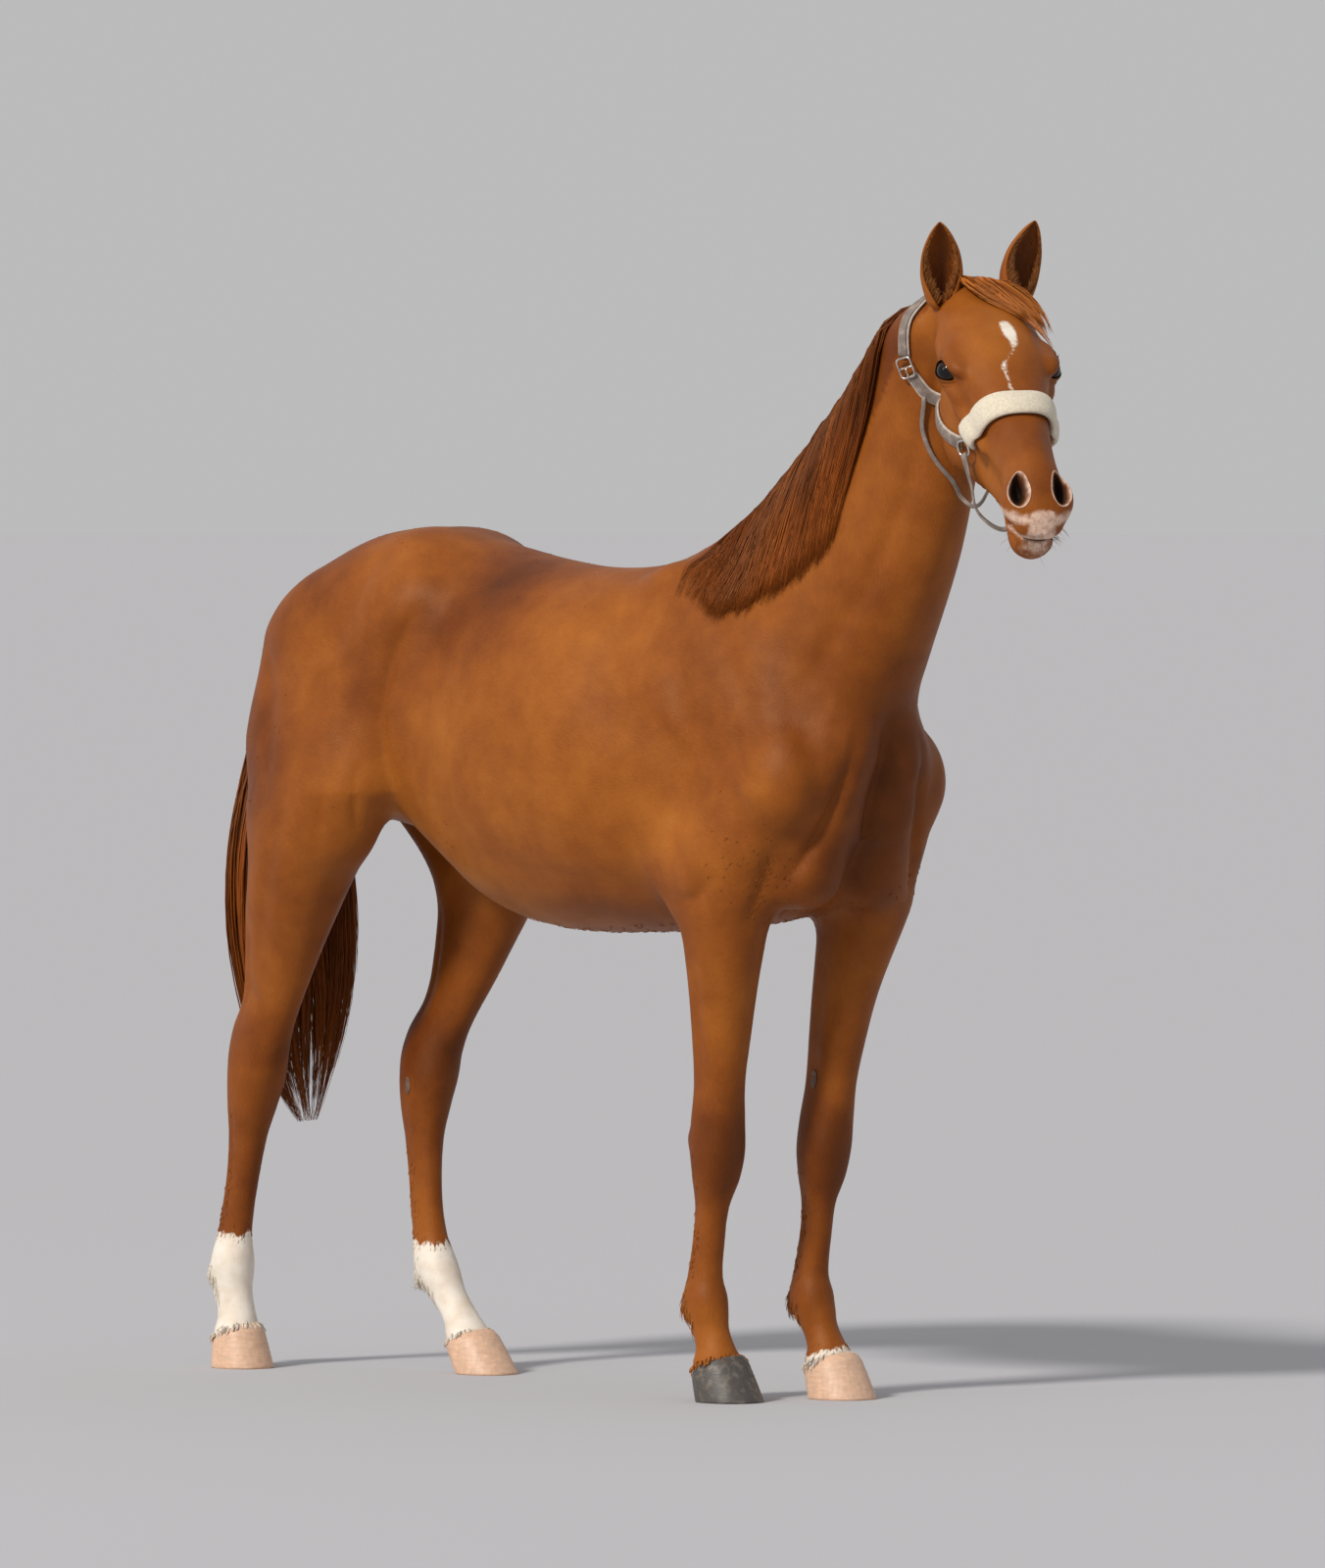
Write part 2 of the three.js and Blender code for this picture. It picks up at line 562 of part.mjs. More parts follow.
// ---------------------------------------------------------------- ears
// Up each ear: [share of its length, half width, half depth]
const earShape = curve([
  [0, 27, 24], [0.15, 31, 25], [0.35, 35, 21], [0.6, 31, 16], [0.8, 21, 11], [0.93, 11, 6.5], [1, 3, 2.5],
]);
const EAR_ROOT = [16, -30, 64];
function ear(side) {
  const root = vec(onHead(EAR_ROOT[0], EAR_ROOT[1], side * EAR_ROOT[2]));
  const tip = root.clone().add(vec([30, side * 32 - 4, 158]).setLength(EAR_LENGTH));
  const up = tip.clone().sub(root).normalize();
  // The hollow faces the way the head points and a little outwards.
  const facing = radians(HEAD_YAW + side * 15);
  const front = vec([Math.cos(facing), Math.sin(facing), 0]).projectOnPlane(up).normalize();
  const across = new THREE.Vector3().crossVectors(front, up);
  const rows = (shares, grow, shift, bow) =>
    shares.map((t) => {
      const [width, depth] = earShape(t);
      const centre = root.clone().addScaledVector(up, t * EAR_LENGTH);
      centre.addScaledVector(front, shift + bow * Math.sin(Math.PI * t));
      return Array.from({ length: 8 }, (_, j) => {
        const turn = (2 * Math.PI * j) / 8;
        return centre
          .clone()
          .addScaledVector(across, Math.cos(turn) * (width + grow))
          .addScaledVector(front, Math.sin(turn) * (depth + grow))
          .toArray();
      });
    });
  const outside = bar(rows([-0.12, 0, 0.15, 0.35, 0.6, 0.8, 0.93, 1], 0, 0, -8));
  const hollow = bar(rows([0.16, 0.3, 0.5, 0.7, 0.85, 0.93], -5.5, 13, -8));
  return outside.subtract(hollow).subtract(headTube(GAP));
}

// ---------------------------------------------------------------- trunk and legs
const trunkTube = (level) =>
  tube(trunkAndStubs, spaced([-800, 0, 1290], [380, 0, 1160], 21), [0, 0, 1], 24, 3, level);
const legBlock = (leg, later) => {
  const { point, up } = cutOf(leg);
  const half = block(
    [point[0] - (leg.fore ? 180 : 330), Math.min(0, leg.side * 400), -50],
    [point[0] + (leg.fore ? 190 : 160), Math.max(0, leg.side * 400), 1250],
  );
  return half.intersect(beyond(point, up.map((v) => -v), later));
};
const HOOF_SLOPE = [-0.33, 0, 0.94];
const legAxis = (leg) => curve(leg.joints.map(([x, y, z]) => [z, x, y]).reverse());
function legTube(leg, level) {
  const axis = legAxis(leg);
  const rows = (leg.fore ? FORE : HIND).map((row) => row[0]).filter((z) => z > SOLE);
  const line = [-10, 40, ...rows].map((z) => [...axis(Math.max(z, SOLE)), z]);
  const withTrunk = blendAll([[leg.field, LEG_BLEND], [trunk, LEG_BLEND]]);
  return tube(within(withTrunk, (x, y, z) => leg.field(x, y, z) - OVERLAP), line, [1, 0, 0], 12, 1, level);
}
const SEAM = 24; // how far each limb runs on above its cut before the trunk takes over
const upTo = (leg) => legTube(leg, 0).intersect(legBlock(leg, -SEAM));
const body = legs.reduce((sum, leg) => sum.add(upTo(leg)), trunkTube(0));
const neckRoot = neckTube(0).intersect(beyond(neckPlane, neckWay, -SEAM));
let trunkSolid = body.add(neckRoot).subtract(beyond(neckPlane, neckWay, -GAP / 2));
for (const leg of legs) trunkSolid = trunkSolid.subtract(legBlock(leg, -GAP / 2));
function legPieces(leg) {
  const whole = legTube(leg, 0).add(trunkTube(0)).intersect(legBlock(leg, GAP / 2));
  const coronet = [legAxis(leg)(64)[0], legAxis(leg)(64)[1], 64];
  return {
    limb: whole.intersect(beyond(coronet, HOOF_SLOPE, GAP / 2)),
    hoof: whole
      .subtract(beyond(coronet, HOOF_SLOPE, -GAP / 2))
      .intersect(block([-FAR, -FAR, SOLE], [FAR, FAR, 200])),
  };
}

// ---------------------------------------------------------------- mane, forelock and tail
const fleshAndTrunkGrown = fleshGrown.add(trunkTube(GAP + 0.2));
// The mane's outline seen from the side, as [x, z]: it falls on the horse's right.
const MANE_EDGE = [
  [105, 1515], [202, 1434], [290, 1403], [350, 1412], [420, 1432], [500, 1480], [573, 1540],
  [606, 1617], [648, 1717], [705, 1815], [745, 1905], [780, 2100], [300, 2100], [60, 1700],
];
const MANE_SPREAD = -0.09; // radians that its root line turns to the right with the neck
function mane() {
  const line = Array.from({ length: 11 }, (_, i) => onNeck(-10 + i * 78, -30 + i * 2.4, 0));
  const outside = tube(within(foreHand, neck), line, [0, 0, 1], 16, 1, MANE);
  const turn = moved(70, 14, 0)
    .multiply(new THREE.Matrix4().makeRotationZ(MANE_SPREAD))
    .multiply(moved(-70, 0, 0))
    .multiply(sideView);
  return outside
    .intersect(drawn(MANE_EDGE, 0, 500, turn))
    .subtract(headBlock(24))
    .subtract(fleshAndTrunkGrown);
}

// A lock of hair: rows of [x, y, z, half width, half depth] along its length, its width lying `across`.
function lock(rows, across, sides) {
  const points = rows.map((row) => vec(row.slice(0, 3)));
  return bar(
    rows.map((row, i) => {
      const along = tangentOf(points, i);
      const wide = vec(across).projectOnPlane(along).normalize();
      const deep = new THREE.Vector3().crossVectors(along, wide);
      return Array.from({ length: sides }, (_, j) => {
        const turn = (2 * Math.PI * j) / sides;
        return points[i]
          .clone()
          .addScaledVector(wide, Math.cos(turn) * row[3])
          .addScaledVector(deep, Math.sin(turn) * row[4])
          .toArray();
      });
    }),
  );
}
const TAIL = [
  [-900, 0, 1398, 40, 32], [-948, 0, 1396, 46, 40], [-990, 0, 1362, 50, 46],
  [-1010, 0, 1290, 58, 50], [-1018, -4, 1190, 80, 54], [-1018, -10, 1070, 112, 60],
  [-1010, -14, 950, 138, 64], [-1000, -14, 820, 146, 64], [-990, -12, 700, 132, 58],
  [-982, -8, 600, 104, 48], [-976, -2, 520, 62, 34], [-972, 4, 460, 24, 16],
];
const tail = () =>
  lock(TAIL, [0, 1, 0], 8)
    .subtract(trunkTube(GAP + 0.2))
    .subtract(legTube(legs[2], GAP + 0.2));

const FORELOCK = [
  [-6, 2, 0, 28, 12], [24, 18, 5, 33, 13], [62, 27, 16, 36, 13], [104, 31, 38, 34, 13],
  [146, 28, 62, 29, 12], [188, 16, 84, 21, 10], [224, 2, 96, 9, 6],
];
function forelock(ears) {
  const rows = FORELOCK.map(([s, n, v, wide, deep]) => [...onHead(s, n, v), wide, deep]);
  const across = onHead(40, 0, 100).map((value, i) => value - onHead(0, 0, 0)[i]);
  return lock(rows, across, 8).subtract(headTube(GAP + 0.2)).subtract(ears);
}

// ---------------------------------------------------------------- halter
// Slides a point straight in or out until it is at a distance from the flesh.
function outward(p) {
  const e = 1;
  const d = (dx, dy, dz) =>
    foreHand(p.x + dx, p.y + dy, p.z + dz) - foreHand(p.x - dx, p.y - dy, p.z - dz);
  return new THREE.Vector3(d(e, 0, 0), d(0, e, 0), d(0, 0, e)).normalize();
}
function settle(p, distance) {
  for (let i = 0; i < 6; i += 1) p.addScaledVector(outward(p), distance - foreHand(p.x, p.y, p.z));
  return p;
}

// A strap along points in the head's own frame. It hugs the flesh, or hangs at least `clear` away from it.
function strap(points, width, thickness, count, hug = true, clear = 6) {
  const route = points.map(([s, n, v]) => vec(onHead(s, n, v)));
  if (!hug) for (const end of [route[0], route[route.length - 1]]) settle(end, STRAP + 5);
  const path = new THREE.CatmullRomCurve3(route, false, "centripetal");
  const centres = Array.from({ length: count }, (_, i) => {
    const p = path.getPoint(i / (count - 1));
    if (hug || foreHand(p.x, p.y, p.z) < clear) settle(p, hug ? 0 : clear);
    return p;
  });
  const deep = hug ? -5 : 0;
  return bar(
    centres.map((p, i) => {
      const along = tangentOf(centres, i);
      const out = outward(p).projectOnPlane(along).normalize();
      const side = new THREE.Vector3().crossVectors(out, along);
      const corner = (w, t) =>
        p.clone().addScaledVector(side, (w * width) / 2).addScaledVector(out, t).toArray();
      const round = Math.min(2, thickness / 4);
      const inset = 1 - (2 * round) / width;
      return [
        corner(-1, deep),
        corner(1, deep),
        corner(1, thickness - round),
        corner(inset, thickness),
        corner(-inset, thickness),
        corner(-1, thickness - round),
      ];
    }),
  ).subtract(fleshGrown);
}
const mirrored = (points) => [...points, ...points.slice(0, -1).reverse().map(([s, n, v]) => [s, n, -v])];
const onSide = (points, side) => points.map(([s, n, v]) => [s, n, -side * v]);

const BUCKLE = [-4, -150, -90];
const CROWN = [BUCKLE, [-14, -106, -92], [-26, -60, -86], [-38, -18, -62], [-42, 2, -30], [-43, 4, 0]];
const CHEEK = [[20, -178, -90], [60, -200, -84], [130, -196, -78], [200, -176, -72], [250, -158, -60]];
const TAB = [[286, -142, -58], [300, -118, -62], [312, -98, -64]];
const SLEEVE = [[316, -92, -64], [330, -55, -62], [344, -15, -46], [352, 2, -18], [353, 4, 0]];
const CHIN = [[276, -180, -56], [310, -204, -50], [345, -232, -34], [362, -244, 0]];
const THROAT = [[44, -214, -84], [66, -272, -68], [112, -326, -44], [178, -350, 0]];
const RING = [268, -158, -62];

// Turns a flat shape lying in XY so that its Y follows a direction on the head and it faces away from the flesh.
function fitting(geometry, place, towards, lift) {
  const p = settle(vec(onHead(...place)), lift);
  const out = outward(p);
  const along = vec(onHead(...towards)).sub(vec(onHead(...place))).projectOnPlane(out).normalize();
  const basis = new THREE.Matrix4().makeBasis(new THREE.Vector3().crossVectors(along, out), along, out);
  return solidOf(geometry, basis.setPosition(p));
}
const buckleFrame = () => {
  const corners = (a, b) => [[-a, -b], [a, -b], [a, b], [-a, b]].map(([x, y]) => new THREE.Vector2(x, y));
  const outer = new THREE.Shape(corners(17, 20));
  outer.holes.push(new THREE.Path(corners(13, 16).reverse()));
  return new THREE.ExtrudeGeometry(outer, { depth: 4, bevelEnabled: false });
};

// ---------------------------------------------------------------- meshes
const looks = {
  coat: { color: 0x8f4a1f, roughness: 0.5 },
  ear: { color: 0x7c3f1b, roughness: 0.6 },
  hair: { color: 0x5c2413, roughness: 0.55 },
  dark_horn: { color: 0x55504c, roughness: 0.6 },
  pale_horn: { color: 0xd9a58a, roughness: 0.6 },
  eye: { color: 0x1d120c, roughness: 0.08 },
  leather: { color: 0x6d655f, roughness: 0.7 },
  fleece: { color: 0xd9cdb8, roughness: 0.95 },
  steel: { color: 0xb9b6b0, roughness: 0.3, metalness: 0.9 },
};
const horse = new THREE.Group();
horse.name = "horse";
horse.position.set(...STAND);
function add(name, shape, look) {
  const m = shape.getMesh();
  const geometry = new THREE.BufferGeometry();
  geometry.setAttribute("position", new THREE.Float32BufferAttribute(m.vertProperties, 3));
  geometry.setIndex([...m.triVerts]);
  geometry.computeVertexNormals();
  const mesh = new THREE.Mesh(geometry, new THREE.MeshStandardMaterial(looks[look]));
  mesh.name = name;
  horse.add(mesh);
}

add("trunk", trunkSolid, "coat");
add("neck", neckSolid, "coat");
add("head", headSolid, "coat");
const ears = { right: ear(-1), left: ear(1) };
const sides = [[-1, "right"], [1, "left"]];
for (const [side, label] of sides) {
  add(`eye_${label}`, eyeball(side, EYE_RADIUS), "eye");
  add(`ear_${label}`, ears[label], "ear");
}
for (const leg of legs) {
  const { limb, hoof } = legPieces(leg);
  const [label, end] = leg.name.split("_");
  add(`${end}_leg_${label}`, limb, "coat");
  add(`hoof_${end}_${label}`, hoof, leg.name === "right_fore" ? "dark_horn" : "pale_horn");
}
add("mane", mane(), "hair");
add("forelock", forelock(ears.right.add(ears.left)), "hair");
add("tail", tail(), "hair");

const crown = strap(mirrored(CROWN), 25, STRAP, 13);
add("halter_crown_strap", crown, "leather");
add("halter_nose_sleeve", strap(mirrored(SLEEVE), 57, FLEECE, 9), "fleece");
add("halter_chin_strap", strap(mirrored(CHIN), 22, STRAP, 13, false), "leather");
add("halter_throat_strap", strap(mirrored(THROAT), 14, STRAP, 15, false), "leather");
for (const [side, label] of sides) {
  add(`halter_cheek_strap_${label}`, strap(onSide(CHEEK, side), 25, STRAP, 8), "leather");
  add(`halter_nose_strap_${label}`, strap(onSide(TAB, side), 25, STRAP, 3), "leather");
  const [buckleAt, below] = onSide([[8, -164, -91], CHEEK[0]], side);
  add(`halter_buckle_${label}`, fitting(buckleFrame(), buckleAt, below, STRAP + 3.5), "steel");
  const [ringAt, forward] = onSide([RING, TAB[0]], side);
  const ring = new THREE.TorusGeometry(17, 3, 4, 10);
  add(`halter_ring_${label}`, fitting(ring, ringAt, forward, STRAP + 6), "steel");
}

export default horse;
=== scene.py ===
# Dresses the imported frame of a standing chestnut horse: skin, coat, hair, eyes, hooves and headcollar.
# Blender 4.5, metres, +X towards the chest, +Y to the horse's left, +Z up, floor at Z = 0.
import math

import bmesh
import bpy
import numpy as np
from mathutils import Matrix, Vector


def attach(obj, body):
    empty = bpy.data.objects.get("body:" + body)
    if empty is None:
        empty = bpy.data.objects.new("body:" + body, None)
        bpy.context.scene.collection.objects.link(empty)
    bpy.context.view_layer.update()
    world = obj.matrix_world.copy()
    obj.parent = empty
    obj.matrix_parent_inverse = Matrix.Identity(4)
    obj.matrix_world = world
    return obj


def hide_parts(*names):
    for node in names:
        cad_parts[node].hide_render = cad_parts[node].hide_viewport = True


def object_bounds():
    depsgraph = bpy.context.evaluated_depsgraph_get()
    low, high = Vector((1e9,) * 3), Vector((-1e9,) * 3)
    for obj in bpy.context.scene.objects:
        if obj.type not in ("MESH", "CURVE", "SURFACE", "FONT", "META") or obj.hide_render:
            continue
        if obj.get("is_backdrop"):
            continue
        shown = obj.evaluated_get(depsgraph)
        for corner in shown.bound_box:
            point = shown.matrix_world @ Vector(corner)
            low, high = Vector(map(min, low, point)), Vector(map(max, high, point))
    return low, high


bl_info = {
    "name": "Standing horse",
    "version": (1, 0, 0),
    "blender": (4, 5, 0),
    "location": "3D View > Sidebar > Horse",
    "description": "Builds the skin, coat, hair, eyes, hooves and headcollar of a standing horse",
    "category": "Add Mesh",
}

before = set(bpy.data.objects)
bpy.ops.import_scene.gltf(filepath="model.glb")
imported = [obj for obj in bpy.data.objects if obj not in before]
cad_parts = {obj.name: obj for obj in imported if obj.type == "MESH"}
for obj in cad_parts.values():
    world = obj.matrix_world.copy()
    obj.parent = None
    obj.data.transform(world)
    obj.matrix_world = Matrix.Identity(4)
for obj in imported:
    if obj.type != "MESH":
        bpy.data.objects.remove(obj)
CAD_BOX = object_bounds()

# ------------------------------------------------------------------ anatomy, in millimetres
# The anatomy is drawn about a point below the withers and then set over the middle of the floor.
STAND = np.array([-70.0, 20.0, 0.0])
COAT = 2.0  # depth of the short coat that the skin lies under


def to_metres(points):
    return (np.asarray(points, float) + STAND) * 0.001


def curve(rows):
    """A smooth curve through rows of [t, value, value, ...], held at its end values outside them."""
    rows = np.array(rows, float)
    t, v = rows[:, 0], rows[:, 1:]
    slope = np.empty_like(v)
    slope[1:-1] = (v[2:] - v[:-2]) / (t[2:] - t[:-2])[:, None]
    slope[0] = (v[1] - v[0]) / (t[1] - t[0])
    slope[-1] = (v[-1] - v[-2]) / (t[-1] - t[-2])

    def at(s):
        s = np.clip(s, t[0], t[-1])
        i = np.clip(np.searchsorted(t, s, side="right") - 1, 0, len(t) - 2)
        span = (t[i + 1] - t[i])[:, None]
        u = (s - t[i])[:, None] / span
        m0, m1, step = slope[i] * span, slope[i + 1] * span, v[i + 1] - v[i]
        return (((m0 + m1 - 2 * step) * u + (3 * step - 2 * m0 - m1)) * u + m0) * u + v[i]

    return at


def bisect(is_near, near, far, rounds):
    """Halves the span between two distances until it holds the place where a test stops being true."""
    for _ in range(rounds):
        middle = (near + far) / 2
        inside = is_near(middle)
        near, far = np.where(inside, middle, near), np.where(inside, far, middle)
    return near


def circle(count):
    """Angles evenly round a circle."""
    return np.linspace(0, 2 * math.pi, count + 1)[:-1]


def smooth_min(a, b, blend):
    h = np.maximum(blend - np.abs(a - b), 0)
    return np.minimum(a, b) - h * h / (4 * blend)


def smooth_max(a, b, blend):
    return -smooth_min(-a, -b, blend)


def loft(rows, rounding=0.0):
    """Rows of [along, high, low, half width, level of the width, squareness above, squareness below]."""
    at = curve(rows)
    start, end = rows[0][0], rows[-1][0]

    def field(s, n, v):
        high, low, width, mid, above, below = at(s).T
        dn = n - mid
        half = np.where(dn > 0, high - mid, mid - low)
        power = np.where(dn > 0, above, below)
        share = (np.abs(v / width) ** power + np.abs(dn / half) ** power) ** (1 / power)
        round_ = np.hypot(v, dn) * (1 - 1 / np.maximum(share, 1e-6))
        ends = np.maximum(start - s, s - end)
        return smooth_max(round_, ends, rounding) if rounding else np.maximum(round_, ends)

    return field


def ball(c, r):
    """An ellipsoid with its radii along the three directions."""

    def field(x, y, z):
        dx, dy, dz = x - c[0], y - c[1], z - c[2]
        share = np.sqrt((dx / r[0]) ** 2 + (dy / r[1]) ** 2 + (dz / r[2]) ** 2)
        return np.sqrt(dx * dx + dy * dy + dz * dz) * (1 - 1 / np.maximum(share, 1e-6))

    return field


def muscle(a, b, ra, rb, flat=1.0):
    """A muscle or bone from one point to another, tapered and flattened across its second direction."""
    way = np.subtract(b, a)
    length2 = float(way @ way)

    def field(x, y, z):
        dx, dy, dz = x - a[0], y - a[1], z - a[2]
        t = np.clip((dx * way[0] + dy * way[1] + dz * way[2]) / length2, 0, 1)
        dx, dy, dz = dx - t * way[0], (dy - t * way[1]) / flat, dz - t * way[2]
        return (np.sqrt(dx * dx + dy * dy + dz * dz) - (ra + t * (rb - ra))) * math.sqrt(flat)

    return field


def joined(base, additions):
    def field(x, y, z):
        total = base(x, y, z)
        for shape, blend in additions:
            total = smooth_min(total, shape(x, y, z), blend)
        return total

    return field


WITHERS = 1534
CROUP = 1567
CHEST_FLOOR = 832
RIBS = 262
SOLE = 0
# Along the spine: [x, back, belly, half width, level of the ribs, squareness above, squareness below]
trunk_loft = loft(
    [
        [-970, 1395, 1190, 55, 1300, 2, 2],
        [-900, 1454, 1110, 105, 1310, 2, 2],
        [-800, 1518, 1050, 148, 1320, 2, 2],
        [-700, 1558, 1022, 180, 1320, 2, 2],
        [-600, CROUP, 1000, 200, 1310, 1.9, 2],
        [-540, 1565, 962, 206, 1285, 1.85, 2],
        [-460, 1551, 915, 212, 1235, 1.85, 2.1],
        [-380, 1535, 872, 224, 1205, 1.9, 2.2],
        [-280, 1515, 843, 244, 1180, 2, 2.2],
        [-150, 1499, 830, 258, 1160, 2, 2.2],
        [-20, 1499, CHEST_FLOOR, RIBS, 1150, 1.9, 2.2],
        [90, 1514, 836, 248, 1150, 1.6, 2.2],
        [190, WITHERS, 842, 224, 1150, 1.45, 2.1],
        [280, 1526, 852, 200, 1150, 1.5, 2.1],
        [370, 1470, 872, 180, 1150, 1.7, 2.2],
        [450, 1400, 920, 150, 1150, 1.9, 2.2],
        [530, 1320, 1010, 95, 1160, 2, 2],
    ]
)
neck_loft = loft(
    [
        [-60, 225, -250, 190, -60, 1.8, 2.2],
        [60, 206, -318, 172, -90, 1.6, 2.2],
        [160, 182, -324, 146, -110, 1.5, 2.2],
        [300, 146, -302, 116, -110, 1.5, 2.2],
        [420, 130, -276, 98, -95, 1.5, 2.3],
        [520, 115, -246, 86, -80, 1.6, 2.3],
        [600, 101, -205, 82, -55, 1.7, 2.3],
        [680, 84, -150, 82, -30, 1.8, 2.2],
        [740, 70, -116, 86, -25, 2, 2],
        [790, 54, -104, 84, -25, 2, 2],
        [840, 26, -90, 66, -25, 2, 2],
    ]
)
skull = loft(
    [
        [-45, -26, -115, 58, -70, 2, 2],
        [0, 2, -135, 72, -60, 2.1, 2],
        [60, 16, -155, 82, -58, 2.2, 2.2],
        [120, 25, -168, 87, -55, 2.3, 2.2],
        [180, 27, -170, 90, -50, 2.4, 2.2],
        [230, 20, -164, 84, -54, 2.4, 2.2],
        [290, 6, -152, 69, -60, 2.4, 2.2],
        [350, -4, -142, 58, -64, 2.3, 2.2],
        [410, -10, -134, 51, -68, 2.2, 2.2],
        [465, -16, -130, 49, -74, 2.1, 2.2],
        [510, -26, -130, 52, -82, 2.1, 2.2],
        [545, -42, -130, 52, -90, 2.1, 2.3],
        [575, -64, -130, 43, -100, 2.1, 2.3],
        [594, -90, -124, 26, -106, 2, 2],
    ],
    34,
)
jaw = loft(
    [
        [50, -90, -175, 34, -135, 2, 2],
        [90, -80, -228, 52, -160, 2, 2.2],
        [145, -80, -258, 60, -180, 2, 2.3],
        [205, -90, -262, 59, -185, 2, 2.3],
        [260, -100, -248, 51, -182, 2, 2.2],
        [315, -110, -224, 43, -172, 2, 2.2],
        [370, -115, -202, 37, -162, 2, 2.2],
        [430, -120, -186, 34, -154, 2, 2.2],
        [480, -125, -186, 36, -152, 2, 2.2],
        [520, -128, -192, 39, -158, 2, 2.1],
        [550, -131, -184, 35, -156, 2, 2],
        [574, -134, -162, 18, -147, 2, 2],
    ],
    24,
)
FORE = [
    [-20, 76, -54, 61, 0, 2.2, 2.4],
    [SOLE, 70, -52, 58, 0, 2.2, 2.4],
    [70, 47, -44, 48, 0, 2.1, 2.2],
    [95, 42, -38, 36, 0, 2, 2],
    [130, 38, -42, 32, 0, 2, 2],
    [160, 42, -52, 36, 0, 2.1, 2],
    [188, 41, -51, 37, 0, 2.1, 2],
    [222, 32, -44, 29, -4, 2.1, 2],
    [290, 28, -40, 26, -6, 2.2, 2.1],
    [350, 31, -40, 29, -4, 2.2, 2.1],
    [400, 44, -45, 42, 0, 2.3, 2.2],
    [450, 50, -54, 47, 0, 2.4, 2.2],
    [500, 50, -56, 45, 0, 2.3, 2.2],
    [570, 52, -55, 41, 0, 2.2, 2],
    [660, 62, -60, 47, 0, 2.1, 2],
    [750, 70, -70, 56, 0, 2, 2],
    [850, 86, -90, 66, 0, 2, 2],
    [930, 98, -110, 70, 0, 2, 2],
    [1020, 104, -116, 62, 0, 2, 2],
    [1110, 70, -80, 36, 0, 2, 2],
]
HIND = [
    [-20, 72, -52, 58, 0, 2.2, 2.4],
    [SOLE, 66, -50, 55, 0, 2.2, 2.4],
    [70, 45, -44, 45, 0, 2.1, 2.2],
    [98, 42, -38, 36, 0, 2, 2],
    [145, 39, -46, 33, 0, 2, 2],
    [180, 42, -54, 38, 0, 2.1, 2],
    [208, 40, -52, 37, 0, 2.1, 2],
    [250, 33, -45, 29, -5, 2.1, 2],
    [340, 31, -43, 26, -6, 2.2, 2.1],
    [430, 38, -48, 31, -4, 2.2, 2.1],
    [490, 50, -56, 42, 0, 2.2, 2.1],
    [545, 60, -64, 49, 0, 2.3, 2.1],
    [595, 62, -80, 45, 0, 2.2, 1.9],
    [638, 66, -88, 40, 0, 2.1, 1.6],
    [690, 74, -78, 42, 0, 2, 1.6],
    [780, 88, -94, 54, 0, 2, 1.9],
    [870, 102, -118, 72, 0, 2, 2],
    [960, 116, -140, 86, 0, 2, 2],
    [1040, 130, -170, 92, 0, 2, 2],
    [1120, 140, -180, 84, 0, 2, 2],
    [1210, 110, -150, 62, 0, 2, 2],
    [1300, 50, -80, 30, 0, 2, 2],
]

trunk_muscles = [
    [muscle([140, 94, 1426], [440, 158, 1140], 76, 92, 0.5), 60],  # shoulder blade
    [ball([480, 160, 1118], [60, 52, 70]), 50],  # point of the shoulder
    [muscle([175, 150, 1215], [240, 160, 985], 112, 78, 0.5), 55],  # triceps
    [muscle([460, 150, 1090], [310, 158, 960], 76, 72, 0.75), 55],  # upper arm
    [muscle([515, 66, 1160], [455, 78, 960], 84, 76, 0.9), 40],  # breast
    [muscle([-560, 88, 1444], [-780, 98, 1386], 98, 96, 0.8), 90],  # rump
    [ball([-515, 152, 1420], [72, 38, 54]), 70],  # point of the hip
    [muscle([-880, 78, 1345], [-868, 100, 1180], 82, 104, 0.85), 60],  # buttock
]
trunk_half = joined(lambda x, y, z: trunk_loft(x, z, y), trunk_muscles)


def trunk(x, y, z):
    return trunk_half(x, np.sqrt(y * y + 150), z)


NECK_ROOT = np.array([250.0, 0.0, 1330.0])
NECK_SLOPE = math.radians(49)
NECK_UP = (math.cos(NECK_SLOPE), math.sin(NECK_SLOPE))
neck_swing = curve(
    [
        [0, 0, 0],
        [250, -3, 0],
        [450, -10, 0],
        [560, -18, -0.02],
        [650, -26, -0.12],
        [740, -34, -0.28],
        [800, -42, -0.33],
    ]
)


def neck_middle(s, n):
    swing, lean = neck_swing(s).T
    return swing + lean * n


def in_neck(x, z):
    s = (x - NECK_ROOT[0]) * NECK_UP[0] + (z - NECK_ROOT[2]) * NECK_UP[1]
    n = (z - NECK_ROOT[2]) * NECK_UP[0] - (x - NECK_ROOT[0]) * NECK_UP[1]
    return s, n


def neck(x, y, z):
    s, n = in_neck(x, z)
    return neck_loft(s, n, y - neck_middle(s, n))


def on_neck(s, n, v):
    s, n, v = np.broadcast_arrays(*(np.asarray(a, float) for a in (s, n, v)))
    x = NECK_ROOT[0] + s * NECK_UP[0] - n * NECK_UP[1]
    z = NECK_ROOT[2] + s * NECK_UP[1] + n * NECK_UP[0]
    return np.stack([x, v + neck_middle(s.ravel(), n.ravel()).reshape(s.shape), z], -1)


